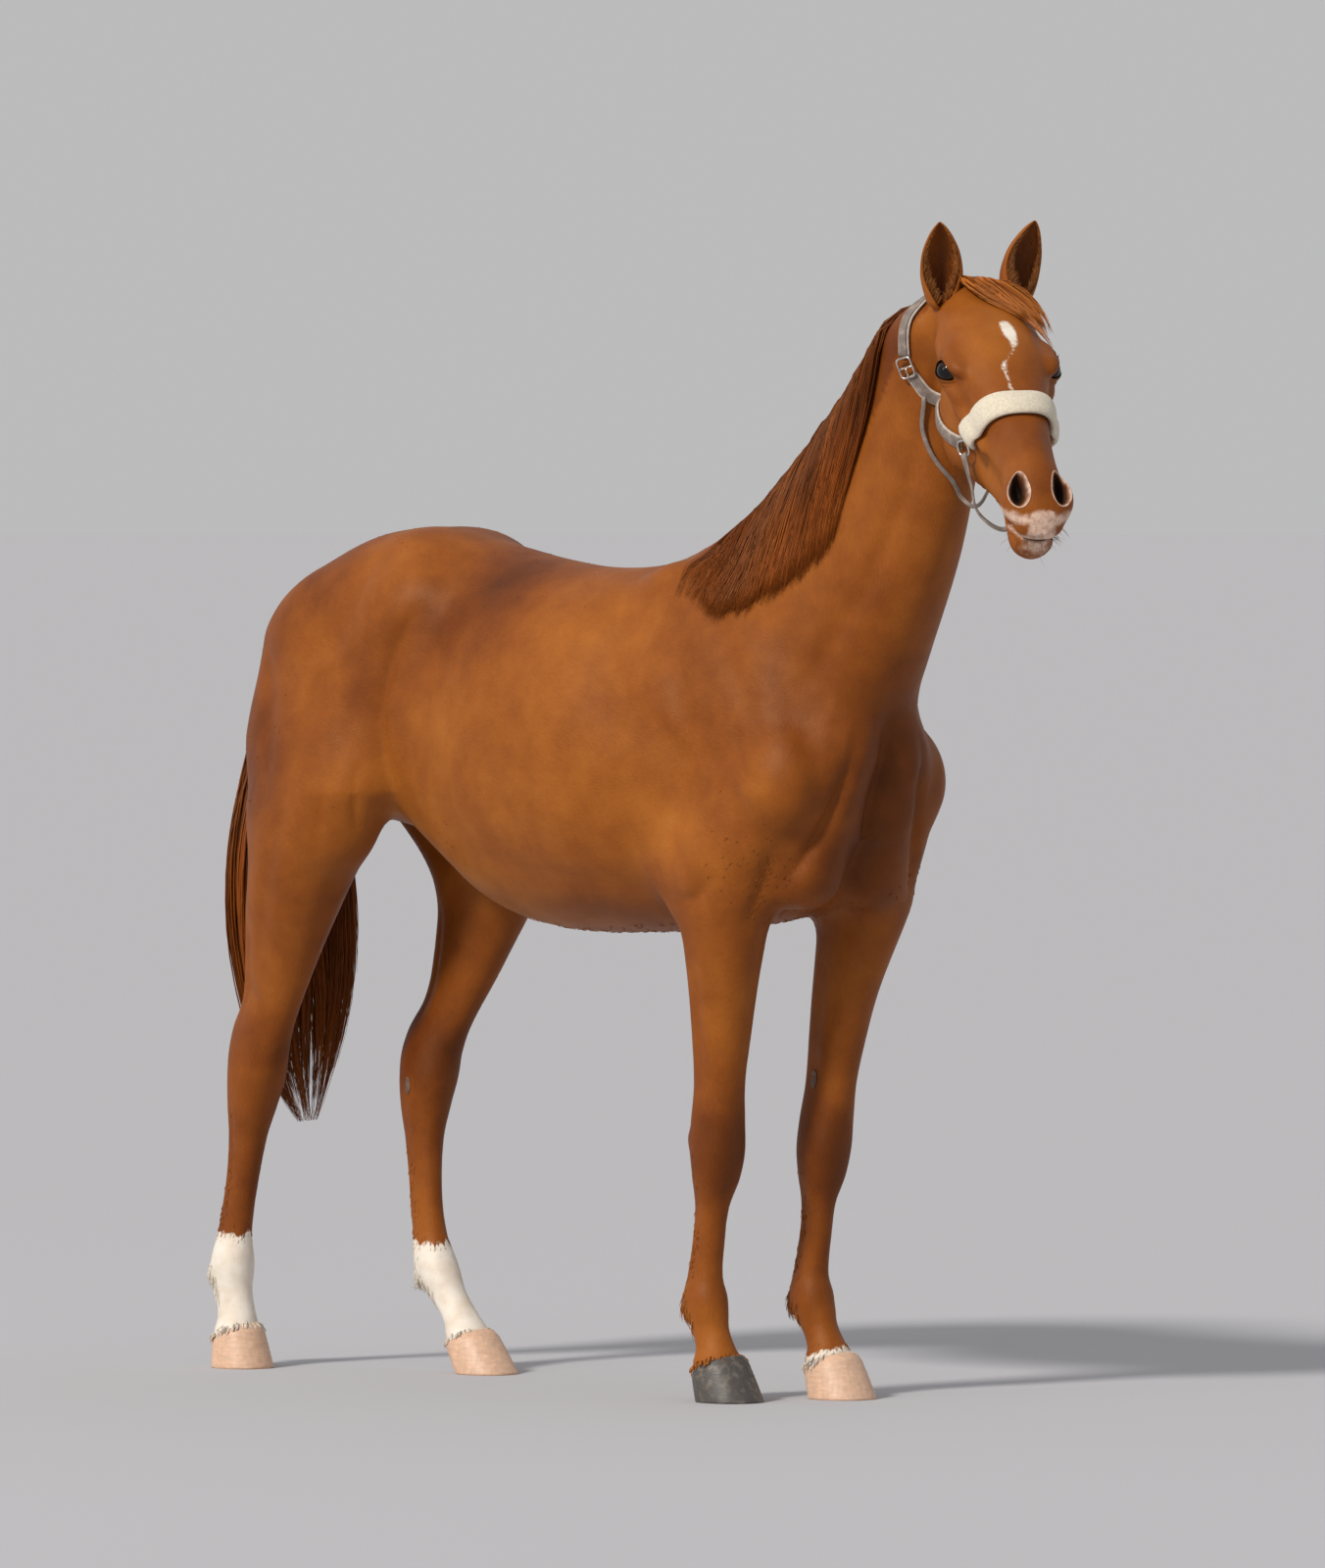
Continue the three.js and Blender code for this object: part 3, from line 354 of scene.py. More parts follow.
# The head has its own frame: s runs from the poll to the lips, n towards the forehead, v to the left.
POLL = np.array([875.0, -52.0, 2000.0])
HEAD_SCALE = 1.02
HEAD_TURN = np.array(
    Matrix.Rotation(math.radians(-29.5), 3, "Z")
    @ Matrix.Rotation(math.radians(36.5), 3, "Y")
    @ Matrix.Rotation(math.radians(1.5), 3, "X")
)
EYE = (195.0, -48.0, 85.0)
EYE_RADIUS = 24.5
EYE_OUT = np.array([0.51, 0.78, 0.37])  # where the eyes look, as forwards, outwards and up the face
EYE_ALONG = np.array([0.82, -0.57, -0.04])  # from the outer corner of the lids to the inner one
LID_LENGTH = 25.0  # half the opening of the lids
LID_UPPER = 17.0
LID_LOWER = 14.0


def on_head(s, n, v):
    s, n, v = np.broadcast_arrays(*(np.asarray(a, float) for a in (s, n, v)))
    return np.stack([s, v, n], -1) * HEAD_SCALE @ HEAD_TURN.T + POLL


def in_head(x, y, z):
    local = (np.stack([x, y, z], -1) - POLL) @ HEAD_TURN / HEAD_SCALE
    return local[..., 0], local[..., 2], local[..., 1]


head_parts = [
    [ball([200, 80, -18], [46, 24, 18]), 18],  # brow above the eye
    [ball([212, 78, -68], [42, 20, 16]), 18],  # lower rim of the eye's socket
    [muscle([172, 84, -52], [104, 76, -56], 15, 14), 24],  # arch of the cheekbone
    [muscle([250, 74, -88], [360, 55, -90], 12, 8), 22],  # facial crest
    [ball([168, 50, -168], [88, 27, 82]), 24],  # cheek muscle
    [ball([528, 42, -78], [34, 22, 32]), 18],  # nostril
    [ball([524, 0, -172], [34, 28, 22]), 16],  # chin
]
NOSTRIL = np.array([534.0, 37.0, -48.0])  # middle of the right one's opening, as forwards, outwards, up
mouth_line = curve([[470, -152], [500, -144], [530, -135], [565, -129], [600, -126]])
head_half = joined(lambda s, v, n: smooth_min(skull(s, n, v), jaw(s, n, v), 30), head_parts)


def eye_axes():
    """Along, over and out of the eye, as forwards, outwards and up the face."""
    out = EYE_OUT / np.linalg.norm(EYE_OUT)
    along = EYE_ALONG - out * (EYE_ALONG @ out)
    along /= np.linalg.norm(along)
    over = np.cross(out, along)
    return along, over * np.sign(over[2]), out


def lid_opening(a, b):
    """Distance outside the almond between the lids, from places along and over the eye."""
    tall = np.where(b > 0, LID_UPPER, LID_LOWER) * (1 - 0.3 * np.clip(a / LID_LENGTH, -0.6, 1))
    share = np.sqrt((a / LID_LENGTH) ** 2 + (b / tall) ** 2)
    return np.hypot(a, b) * (1 - 1 / np.maximum(share, 1e-3))


def groove(distance, width, depth):
    return depth * np.exp(-((distance / width) ** 2))


def lids(shape, s, v, n):
    """Lays the closed lids over the eyeball, with the folds above and below it."""
    centre = np.array([EYE[0], EYE[2], EYE[1]])
    place = np.stack([s, v, n], -1) - centre
    a, b, c = (place @ axis for axis in eye_axes())
    near = (place**2).sum(-1) < 70**2
    a, b, c = a[near], b[near], c[near]
    radius = np.sqrt(a * a + b * b + c * c)
    beyond = lid_opening(a, b)
    upper = 1 / (1 + np.exp(-b / 2.5))
    front = np.where(c > 0, 1.0, 0.0)
    lid = smooth_min(shape[near], radius - EYE_RADIUS - COAT - 2.4 - upper, 13)
    lid = lid + front * upper * groove(beyond - 7.5, 2.2, 2.6) * np.exp(-((a / 24) ** 4))
    lid = lid + front * upper * groove(beyond - 17, 3.4, 1.8) * np.exp(-(((a + 6) / 16) ** 4))
    lid = lid + front * (1 - upper) * groove(beyond - 7, 2.2, 1.3)
    lid = lid + front * (1 - upper) * groove(beyond - 14, 3.0, 0.8)
    shape = shape.copy()
    shape[near] = lid
    return shape


def head(x, y, z):
    s, n, v = in_head(x, y, z)
    v = np.abs(v)
    shape = head_half(s, v, n)
    return lids(shape, s, v, n) * HEAD_SCALE


# The joints of each leg from the top down, as [x, y, z].
LEGS = {
    "fore_right": dict(
        side=-1,
        fore=True,
        joints=[
            [338, -148, 1000], [322, -144, 900], [294, -128, 700], [266, -110, 450],
            [247, -106, 310], [232, -105, 180], [262, -105, 72], [287, -105, SOLE],
        ],
    ),
    "fore_left": dict(
        side=1,
        fore=True,
        joints=[
            [405, 148, 1000], [386, 144, 900], [338, 128, 700], [312, 110, 450],
            [302, 106, 310], [288, 105, 180], [334, 105, 72], [360, 105, SOLE],
        ],
    ),
    "hind_right": dict(
        side=-1,
        fore=False,
        joints=[
            [-700, -170, 1080], [-802, -160, 910], [-890, -140, 745], [-970, -120, 570],
            [-1024, -105, 370], [-1058, -105, 192], [-1047, -105, 72], [-1038, -105, SOLE],
        ],
    ),
    "hind_left": dict(
        side=1,
        fore=False,
        joints=[
            [-530, 170, 1080], [-618, 160, 910], [-682, 140, 745], [-757, 120, 570],
            [-752, 105, 370], [-720, 105, 192], [-636, 105, 72], [-590, 105, SOLE],
        ],
    ),
}


def leg_parts(side, fore, joints):
    upper, middle, fetlock = joints[1], joints[3], joints[5]
    if fore:
        return [
            [muscle([upper[0] - 104, upper[1], 985], [upper[0] - 84, upper[1], 905], 42, 34, 0.9), 40],
            [muscle([upper[0] + 36, upper[1], 900], [middle[0] + 24, middle[1], 640], 54, 26, 0.9), 30],
            [ball([middle[0] - 46, middle[1] + side * 8, 470], [16, 13, 22]), 24],
            [ball([fetlock[0] - 44, fetlock[1], 165], [16, 15, 20]), 20],
        ]
    return [
        [muscle([-560, side * 150, 1340], [upper[0] + 95, side * 172, 1075], 84, 88, 0.55), 70],
        [muscle([-792, side * 134, 1330], [upper[0] - 20, side * 156, 1060], 108, 112, 0.55), 70],
        [muscle([-850, side * 96, 1190], [upper[0] - 62, side * 130, 950], 92, 62, 0.75), 60],
        [ball([upper[0] + 118, upper[1] + side * 10, 1010], [52, 46, 58]), 46],
        [ball([fetlock[0] - 48, fetlock[1], 174], [16, 15, 20]), 20],
    ]


def leg_axis(leg):
    return curve([[z, x, y] for x, y, z in leg["joints"]][::-1])


def above_hoof(leg, x, z):
    """Height over the sloping line where the hair meets the hoof."""
    return 0.94 * (z - 64) - 0.33 * (x - leg_axis(leg)(np.array([64.0]))[0, 0])


def leg_field(leg):
    axis, shape = leg_axis(leg), loft(FORE if leg["fore"] else HIND)

    def on_axis(x, y, z):
        ax, ay = axis(z).T
        return shape(z, x - ax, y - ay)

    shape_above_hoof = joined(on_axis, leg_parts(**leg))
    return lambda x, y, z: np.maximum(shape_above_hoof(x, y, z), -above_hoof(leg, x, z) - 7)


leg_fields = {name: leg_field(leg) for name, leg in LEGS.items()}


def flesh(x, y, z):
    """The whole animal: negative inside the flesh, positive outside, in millimetres."""
    total = np.full(x.shape, 1e4)

    def blend_in(shape, where, blend):
        if where.any():
            total[where] = smooth_min(total[where], shape(x[where], y[where], z[where]), blend)

    blend_in(trunk, (x < 720) & (z > 700), 70)
    blend_in(neck, (x > 60) & (z > 940), 70)
    blend_in(head, (x > 660) & (z > 1440), 30)
    for name, leg in LEGS.items():
        near = (x > 20) & (z < 1300) if leg["fore"] else (x < -240) & (z < 1600)
        blend_in(leg_fields[name], near & (y * leg["side"] > -130), 60)
    return total


def slope_of(field, p, step=0.6):
    gradient = np.empty_like(p)
    for k in range(3):
        ahead, behind = p.copy(), p.copy()
        ahead[:, k] += step
        behind[:, k] -= step
        gradient[:, k] = (field(*ahead.T) - field(*behind.T)) / (2 * step)
    return gradient


def settle(p, level=0.0, rounds=3, field=None, most=12.0):
    """Slides points straight in or out until they lie at a level of the field."""
    field = field or flesh
    p = np.array(p, float)
    for _ in range(rounds):
        g = slope_of(field, p)
        size = np.maximum((g * g).sum(1), 0.05)
        step = (field(*p.T) - level) / size
        p -= g * np.clip(step, -most, most)[:, None]
    return p


# ------------------------------------------------------------------ skin
def grid_lines(stops):
    """Grid lines whose spacing changes at stops of [from, spacing]."""
    lines = [stops[0][0]]
    for (_, gap), (end, _) in zip(stops, stops[1:]):
        count = max(1, round((end - lines[-1]) / gap))
        lines += list(np.linspace(lines[-1], end, count + 1)[1:])
    return np.array(lines)


def surface_net(field, xs, ys, zs, band):
    """A closed mesh of quads round the inside of a field, on a grid of uneven spacing."""
    shape = (len(xs), len(ys), len(zs))
    pick = [np.minimum(np.arange(0, n, 4) + 2, n - 1) for n in shape]
    cx, cy, cz = np.meshgrid(xs[pick[0]], ys[pick[1]], zs[pick[2]], indexing="ij")
    coarse = field(cx.ravel(), cy.ravel(), cz.ravel()).reshape(cx.shape)
    near = [np.arange(n) // 4 for n in shape]
    near = [np.minimum(a, len(k) - 1) for a, k in zip(near, pick)]
    values = coarse[np.ix_(*near)]
    close = np.argwhere(np.abs(values) < band)
    values[tuple(close.T)] = field(xs[close[:, 0]], ys[close[:, 1]], zs[close[:, 2]])
    inside = values < 0
    low, high = [slice(None, -1)] * 3, [slice(1, None)] * 3
    corners = [
        inside[tuple((high if (c >> k) & 1 else low)[k] for k in range(3))].astype(np.int8)
        for c in range(8)
    ]
    count = sum(corners)
    cells = np.argwhere((count > 0) & (count < 8))
    number = np.full([n - 1 for n in shape], -1, np.int64)
    number[tuple(cells.T)] = np.arange(len(cells))
    lines = (xs, ys, zs)
    total, hits = np.zeros((len(cells), 3)), np.zeros(len(cells))
    for axis in range(3):
        others = [k for k in range(3) if k != axis]
        for c in range(4):
            a = cells.copy()
            a[:, others[0]] += c & 1
            a[:, others[1]] += c >> 1
            b = a.copy()
            b[:, axis] += 1
            va, vb = values[tuple(a.T)], values[tuple(b.T)]
            cross = (va < 0) != (vb < 0)
            t = np.where(cross, va / np.where(cross, va - vb, 1), 0)
            point = np.stack([lines[k][a[:, k]] for k in range(3)], 1)
            point[:, axis] += t * (lines[axis][b[:, axis]] - lines[axis][a[:, axis]])
            total += point * cross[:, None]
            hits += cross
    verts = total / hits[:, None]
    faces = []
    for axis in range(3):
        u, w = [(1, 2), (2, 0), (0, 1)][axis]
        first, second = [slice(None)] * 3, [slice(None)] * 3
        first[axis], second[axis] = slice(None, -1), slice(1, None)
        change = inside[tuple(first)] != inside[tuple(second)]
        edges = np.argwhere(change)
        edges = edges[(edges[:, u] > 0) & (edges[:, w] > 0)]
        edges = edges[(edges[:, u] < shape[u] - 1) & (edges[:, w] < shape[w] - 1)]
        quad = []
        for du, dw in [(-1, -1), (0, -1), (0, 0), (-1, 0)]:
            cell = edges.copy()
            cell[:, u] += du
            cell[:, w] += dw
            quad.append(number[tuple(cell.T)])
        quad = np.stack(quad, 1)
        out = inside[tuple(edges.T)]
        quad[~out] = quad[~out][:, ::-1]
        faces.append(quad)
    return verts, np.concatenate(faces)


def mesh_object(name, verts, faces, smooth=True):
    """Links a new mesh object; verts are metres in the row frame."""
    mesh = bpy.data.meshes.new(name)
    mesh.from_pydata(np.asarray(verts, float).tolist(), [], [list(map(int, f)) for f in faces])
    mesh.update()
    if smooth:
        mesh.polygons.foreach_set("use_smooth", np.ones(len(mesh.polygons), bool))
    made = bpy.data.objects.new(name, mesh)
    bpy.context.scene.collection.objects.link(made)
    return made


def head_axes(side, *axes):
    """Directions given as forwards, outwards and up the face, on one side of the head."""
    return [unit(on_head(d[0], d[2], side * d[1]) - POLL) for d in axes]


def drop(flat, centre, axes, low=0.0, high=60.0):
    """Lays points of a plane on the skin, straight along the plane's normal."""
    base = centre + flat[:, :1] * axes[0] + flat[:, 1:] * axes[1]
    near, far = np.full(len(flat), low), np.full(len(flat), high)
    return bisect(lambda d: flesh(*(base + d[:, None] * axes[2]).T) < -COAT, near, far, 24)


def sew_opening(verts, faces, centre, axes, edge, reach, shares, inner, low=0.0):
    """Cuts a hole in the skin round a contour and sews rings of new skin from it to the hole's inside.

    edge gives the contour's radius at an angle; inner gives rings from the contour and its height.
    """
    local = (verts - centre) @ np.stack(axes).T
    angle = np.arctan2(local[:, 1], local[:, 0])
    cut = (np.hypot(local[:, 0], local[:, 1]) < edge(angle) + reach) & (local[:, 2] > low - 4)
    cut &= local[:, 2] < 70
    gone = [face for face in faces if any(cut[i] for i in face)]
    kept = [face for face in faces if not any(cut[i] for i in face)]
    pairs = {(face[k - 1], face[k]) for face in gone for k in range(len(face))}
    follow = {a: b for a, b in pairs if (b, a) not in pairs}
    start = max(follow)
    loop = [start]
    while follow[loop[-1]] != start:
        loop.append(follow[loop[-1]])
    rim = local[loop]
    for _ in range(3):
        rim = (np.roll(rim, 1, 0) + rim * 2 + np.roll(rim, -1, 0)) / 4
    rim[:, 2] = drop(rim[:, :2], centre, axes, low)
    verts = verts.copy()
    verts[loop] = rim @ np.stack(axes) + centre
    turn = np.unwrap(np.arctan2(rim[:, 1], rim[:, 0]))
    way = math.copysign(2 * math.pi, turn[-1] - turn[0])
    drift = turn - np.arange(len(loop)) * way / len(loop)
    for _ in range(6):
        drift = (np.roll(drift, 1) + drift * 2 + np.roll(drift, -1)) / 4
    turn = drift + np.arange(len(loop)) * way / len(loop)
    contour = edge(turn)[:, None] * np.stack([np.cos(turn), np.sin(turn)], 1)
    rings = []
    for share in shares:
        flat = rim[:, :2] * (1 - share) + contour * share
        rings.append(np.column_stack([flat, drop(flat, centre, axes, low)]))
    rings += inner(contour, rings[-1][:, 2])
    depth = np.repeat(np.clip(np.arange(len(rings)) - len(shares) + 1, 0, None), len(loop))
    size, total = len(loop), len(verts)
    added = np.concatenate(rings) @ np.stack(axes) + centre
    ids = [loop] + [[total + k * size + i for i in range(size)] for k in range(len(rings))]
    for first, second in zip(ids, ids[1:]):
        for i in range(size):
            j = (i + 1) % size
            kept.append([first[i], first[j], second[j], second[i]])
    kept.append(ids[-1])
    return np.concatenate([verts, added]), kept, depth


def eye_edge(angle):
    """How far the lids' edge lies from the middle of the eye, at angles round it."""
    cos, sin = np.cos(angle), np.sin(angle)
    near, far = np.zeros_like(angle), np.full_like(angle, 40.0)
    return bisect(lambda d: lid_opening(d * cos, d * sin) < 0, near, far, 20)


def eye_rings(contour, height):
    rings = []
    for scale, radius in ((1.0, 2.7), (0.975, 2.0), (0.965, 1.2), (0.97, 0.5), (1.0, -1.5), (1.05, -5)):
        flat = contour * scale
        level = np.sqrt(np.maximum((EYE_RADIUS + radius) ** 2 - (flat**2).sum(1), 4))
        if radius > 2.5:
            level = np.minimum(level, height)
        rings.append(np.column_stack([flat, level]))
    return rings


def nostril_axes():
    """Along, across and out of the nostril's opening, as forwards, outwards and up the face."""
    out = unit([0.42, 0.42, 0.8])
    along = np.array([69.0, 4.0, -34.0])
    along = unit(along - out * (along @ out))
    across = np.cross(out, along)
    return along, across * np.sign(across[1]), out


def nostril_edge(angle):
    """Teardrop contour, wider at its lower end."""
    wide = 20.5 + 3.0 * np.cos(angle)
    return 1 / np.sqrt((np.cos(angle) / 36) ** 2 + (np.sin(angle) / wide) ** 2)


def nostril_rings(contour, height):
    """The rim's roll, the sloping inner wing and the dark passage behind it."""
    rings = []
    steps = (
        (1.0, 1.0, 0, 0.9), (0.975, 0.95, 0.2, 1.1), (0.94, 0.88, 0.7, 0.2), (0.9, 0.8, 1.6, -2.2),
        (0.86, 0.7, 3.2, -5.5), (0.8, 0.56, 5.4, -9.5), (0.7, 0.42, 7.2, -14.5), (0.56, 0.32, 8.0, -20),
        (0.4, 0.24, 8.0, -26), (0.2, 0.14, 7.0, -30),
    )
    for along, across, shift, rise in steps:
        flat = contour * [along, across] + [-1.2 * shift * 0.4, shift]
        level = height + (height.mean() - height) * (1 - along) * 1.5 + rise
        rings.append(np.column_stack([flat, level]))
    return rings


def refine(verts, faces, needs):
    """Splits the quads wherever each of a list of tests asks for it, one after another."""
    form = bmesh.new()
    points = [form.verts.new(p) for p in verts.tolist()]
    for face in faces.tolist():
        form.faces.new([points[i] for i in face])
    for need in needs:
        places = np.array([v.co for v in form.verts])
        chosen = need(places)
        form.verts.index_update()
        edges = [e for e in form.edges if chosen[e.verts[0].index] and chosen[e.verts[1].index]]
        bmesh.ops.subdivide_edges(form, edges=edges, cuts=1, use_grid_fill=True)
    form.verts.index_update()
    verts = np.array([v.co for v in form.verts])
    faces = [[v.index for v in f.verts] for f in form.faces]
    form.free()
    return verts, faces


def head_only(p):
    return (p[:, 0] > 760) & (p[:, 2] > 1440)


def near_eye(p):
    s, n, v = in_head(*p.T)
    near = (s - EYE[0] - 8) ** 2 + (n - EYE[1]) ** 2 + (np.abs(v) - EYE[2] - 10) ** 2 < 38**2
    return head_only(p) & near


def near_nostril(p):
    s, n, v = in_head(*p.T)
    return head_only(p) & (s > 480) & (s < 590) & (n > -100) & (np.abs(v) > 6)


def near_lips(p):
    s, n, _ = in_head(*p.T)
    return head_only(p) & (s > 450) & (np.abs(n - mouth_line(s)[:, 0]) < 26)


# Folds between muscles, tendons and bones, on the right side and mirrored to the left:
# [points on the skin, width, depth, the legs' side that it is for or 0 for both].
FOLDS = [
    [[(-450, -200, 1420), (-480, -205, 1375), (-511, -210, 1313), (-534, -211, 1241), (-537, -204, 1169),
      (-535, -184, 1097), (-552, -160, 1051)], 17, 10, -1],
    [[(-420, -200, 1420), (-425, -205, 1360), (-428, -210, 1290), (-425, -205, 1200), (-412, -190, 1110),
      (-405, -165, 1045)], 17, 10, 1],
    [[(-470, -195, 1400), (-500, -205, 1310), (-522, -208, 1235), (-524, -200, 1165)], 34, 5, -1],
    [[(590, -78, 1190), (577, -98, 1110), (531, -123, 1008), (461, -141, 923)], 13, 12, 0],
    [[(604, 0, 1230), (590, 0, 1130), (560, 0, 1030), (515, 0, 930), (460, 0, 880)], 13, 5, 0],
    [[(210, -95, 1490), (300, -140, 1400), (395, -175, 1290), (455, -200, 1190)], 26, 5, 0],
    [[(395, -200, 1230), (419, -205, 1173), (452, -222, 1128), (500, -219, 1108)], 11, 4, 0],
    [[(425, -218, 1100), (433, -218, 1060), (436, -203, 998)], 15, 7, 0],
    [[(175, -175, 1430), (240, -200, 1330), (288, -211, 1215), (280, -213, 1090),
      (262, -216, 940)], 26, 6, 0],
    [[(372, -222, 948), (320, -220, 905), (265, -214, 900)], 16, 7, 0],
    [[(470, -170, 990), (440, -165, 925), (400, -165, 860)], 15, 7, 0],
    [[(262, -210, 905), (120, -215, 905), (-60, -220, 925), (-220, -215, 960),
      (-360, -205, 1020)], 34, 3, 0],
    [[(-560, -120, 1500), (-640, -175, 1400), (-680, -205, 1290), (-700, -225, 1160)], 30, 5, 0],
    [[(-860, -70, 1420), (-850, -150, 1300), (-822, -205, 1180), (-800, -215, 1060)], 26, 7, 0],
    [[(-600, -200, 1130), (-612, -200, 1060), (-622, -190, 1010)], 12, 5, -1],
    [[(-640, -205, 1140), (-660, -210, 1070), (-690, -205, 990)], 16, 4, -1],
    [[(-740, -235, 1060), (-800, -225, 950), (-858, -190, 830), (-900, -170, 740)], 20, 5, -1],
    [[(-600, -235, 1060), (-640, -225, 950), (-668, -195, 830), (-690, -170, 740)], 20, 5, 1],
    [[(575, -60, 1480), (560, -95, 1400), (548, -110, 1300), (570, -100, 1200)], 22, 5, 0],
]
NECK_FOLDS = [
    [[(120, -215, 100), (260, -215, 110), (420, -195, 95), (560, -160, 80), (660, -112, 80)], 20, 7],
    [[(180, -20, 120), (300, 0, 105), (430, 10, 90), (560, 15, 80)], 30, 4],
]
# On the head, as [s, n, v].
FACE_FOLDS = [
    [[(110, -8, 62), (140, 6, 56)], 13, 5],
    [[(252, -96, 70), (300, -92, 62), (350, -88, 54)], 9, -1.2],
    [[(258, -70, 70), (300, -62, 58), (360, -60, 50)], 14, 3],
    [[(92, -112, 84), (150, -112, 88), (215, -118, 84)], 9, 2.2],
    [[(150, 8, 74), (182, 2, 80), (216, -6, 80)], 26, 8],
    [[(255, -128, 72), (280, -170, 62), (262, -212, 58)], 13, 4],
    [[(60, -150, 76), (64, -200, 66), (90, -245, 50)], 12, 4],
    [[(396, -104, 46), (440, -92, 44), (480, -74, 44)], 10, 2.5],
    [[(400, -20, 30), (450, -30, 28), (486, -38, 24)], 9, 2.0],
    [[(500, -120, 48), (540, -108, 44), (575, -100, 34)], 8, 1.6],
]
# Broad hollows and swellings as [place, radius, depth].
HOLLOWS = [
    [(-405, -195, 1345), 80, 9],
    [(-330, -150, 1455), 60, 4],
    [(505, -215, 1010), 34, 4],
    [(330, -185, 1330), 60, 3],
    [(-930, -158, 700), 26, 7],
    [(-720, -158, 700), 26, 7],
]


def mouth_gap(p):
    """Height above the line between the lips, and how far forward on the muzzle a point lies, 0 to 1."""
    s, n, _ = in_head(*p.T)
    ahead = np.clip((s - 462) / 24, 0, 1) * (p[:, 0] > 900) * (p[:, 2] > 1300)
    return n - mouth_line(s)[:, 0], ahead


def fold_depth(p):
    """How deep each point of the skin lies in the folds, and how narrow its fold is."""
    depth, sharp = np.zeros(len(p)), np.zeros(len(p))
    both, rows = (-1, 1), []
    for line, width, deep, only in FOLDS:
        rows += [(np.array(line, float) * [1, -k, 1], width, deep) for k in both if only in (0, k)]
    for table, place in ((NECK_FOLDS, on_neck), (FACE_FOLDS, on_head)):
        for line, width, deep in table:
            rows += [(place(*np.array(line, float).T * [[1], [1], [k]]), width, deep) for k in both]
    for leg in LEGS.values():
        axis, shape = leg_axis(leg), curve(FORE if leg["fore"] else HIND)
        levels = [385, 320, 260, 215] if leg["fore"] else [520, 430, 330, 240]
        high = [800, 720, 640, 560] if leg["fore"] else [860, 790, 720, 650]
        for side in both:
            for zs, back, width, deep in ((levels, 0.42, 8, 4), (high, 0.2 if leg["fore"] else 0.62, 13, 5)):
                middle, size = axis(np.array(zs, float)), shape(np.array(zs, float))
                behind, beside = middle[:, 0] + back * size[:, 1], middle[:, 1] + side * size[:, 2]
                rows.append((np.column_stack([behind, beside, zs]), width, deep))
    for line, width, deep in rows:
        route = spline(settle(line, -COAT, 4), 40)
        box = (p > route.min(0) - 2.2 * width).all(1) & (p < route.max(0) + 2.2 * width).all(1)
        where = np.flatnonzero(box)
        if not len(where):
            continue
        gaps = np.linalg.norm(p[where, None] - route[None], axis=2)
        nearest = gaps.argmin(1)
        fade = np.sin(math.pi * np.clip((nearest + 1.5) / 42, 0, 1)) ** 0.6
        amount = groove(gaps.min(1), width, 1.0) * fade
        depth[where] += amount * deep
        sharp[where] = np.maximum(sharp[where], amount * (width < 18) * (deep > 3.5))
    for place, radius, deep in HOLLOWS:
        for k in both:
            centre = settle(np.array([place], float) * [1, -k, 1], -COAT, 4)[0]
            depth += groove(np.linalg.norm(p - centre, axis=1), radius, deep)
    gap, ahead = mouth_gap(p)
    depth += ahead * (groove(gap, 3.8, 8.5) - groove(gap - 9, 5.5, 0.8) - groove(gap + 9, 5.5, 1.6))
    return depth, sharp


def skin_mesh(settings):
    """Quads on the flesh, closer together on the head, laid a coat's depth under the outline."""
    body, fine = settings.body_mesh * 1000, settings.head_mesh * 1000
    xs = grid_lines([[-1150, body], [690, fine], [1370, fine]])
    ys = grid_lines([[-330, body * 0.8], [310, body]])
    zs = grid_lines([[-30, body * 0.85], [560, body], [1500, fine], [2070, fine]])
    verts, faces = surface_net(lambda x, y, z: flesh(x, y, z) + COAT, xs, ys, zs, body * 5)
    verts = settle(verts, -COAT, 2)
    needs = [
        lambda p: near_eye(p) | near_nostril(p) | near_lips(p) | (fold_depth(p)[1] > 0.3),
        lambda p: near_eye(p) | near_lips(p),
    ]
    verts, faces = refine(verts, faces, needs)
    verts = settle(verts, -COAT, 5)
    marks = {"lid": np.zeros(len(verts)), "nostril": np.zeros(len(verts))}

    def sew(mark, *how):
        nonlocal verts, faces
        verts, faces, depth = sew_opening(verts, faces, *how)
        for name in marks:
            marks[name] = np.concatenate([marks[name], depth * (name == mark)])

    for side in (-1, 1):
        centre = on_head(EYE[0], EYE[1], side * EYE[2])
        sew("lid", centre, head_axes(side, *eye_axes()), eye_edge, 2.0, (0.35, 0.7, 0.95), eye_rings)
        centre = on_head(NOSTRIL[0], NOSTRIL[2], side * NOSTRIL[1])
        axes = head_axes(side, *nostril_axes())
        sew("nostril", centre, axes, nostril_edge, 3.0, (0.35, 0.7, 0.95), nostril_rings, -26)
    depth = fold_depth(verts)[0]
    verts -= outward(verts) * np.where(marks["lid"] + marks["nostril"] > 0, 0, depth)[:, None]
    return verts, faces, marks


# The star and the thin stripe under it, as [s, v, half width] down the forehead.
STAR = [
    [160, 9, 10], [172, 11, 12], [190, 13, 11], [207, 15, 7], [226, 12, 1], [246, -4, 0],
    [260, -13, 4.5], [285, -11, 1.6], [312, -9, 2], [345, -8, 1],
]
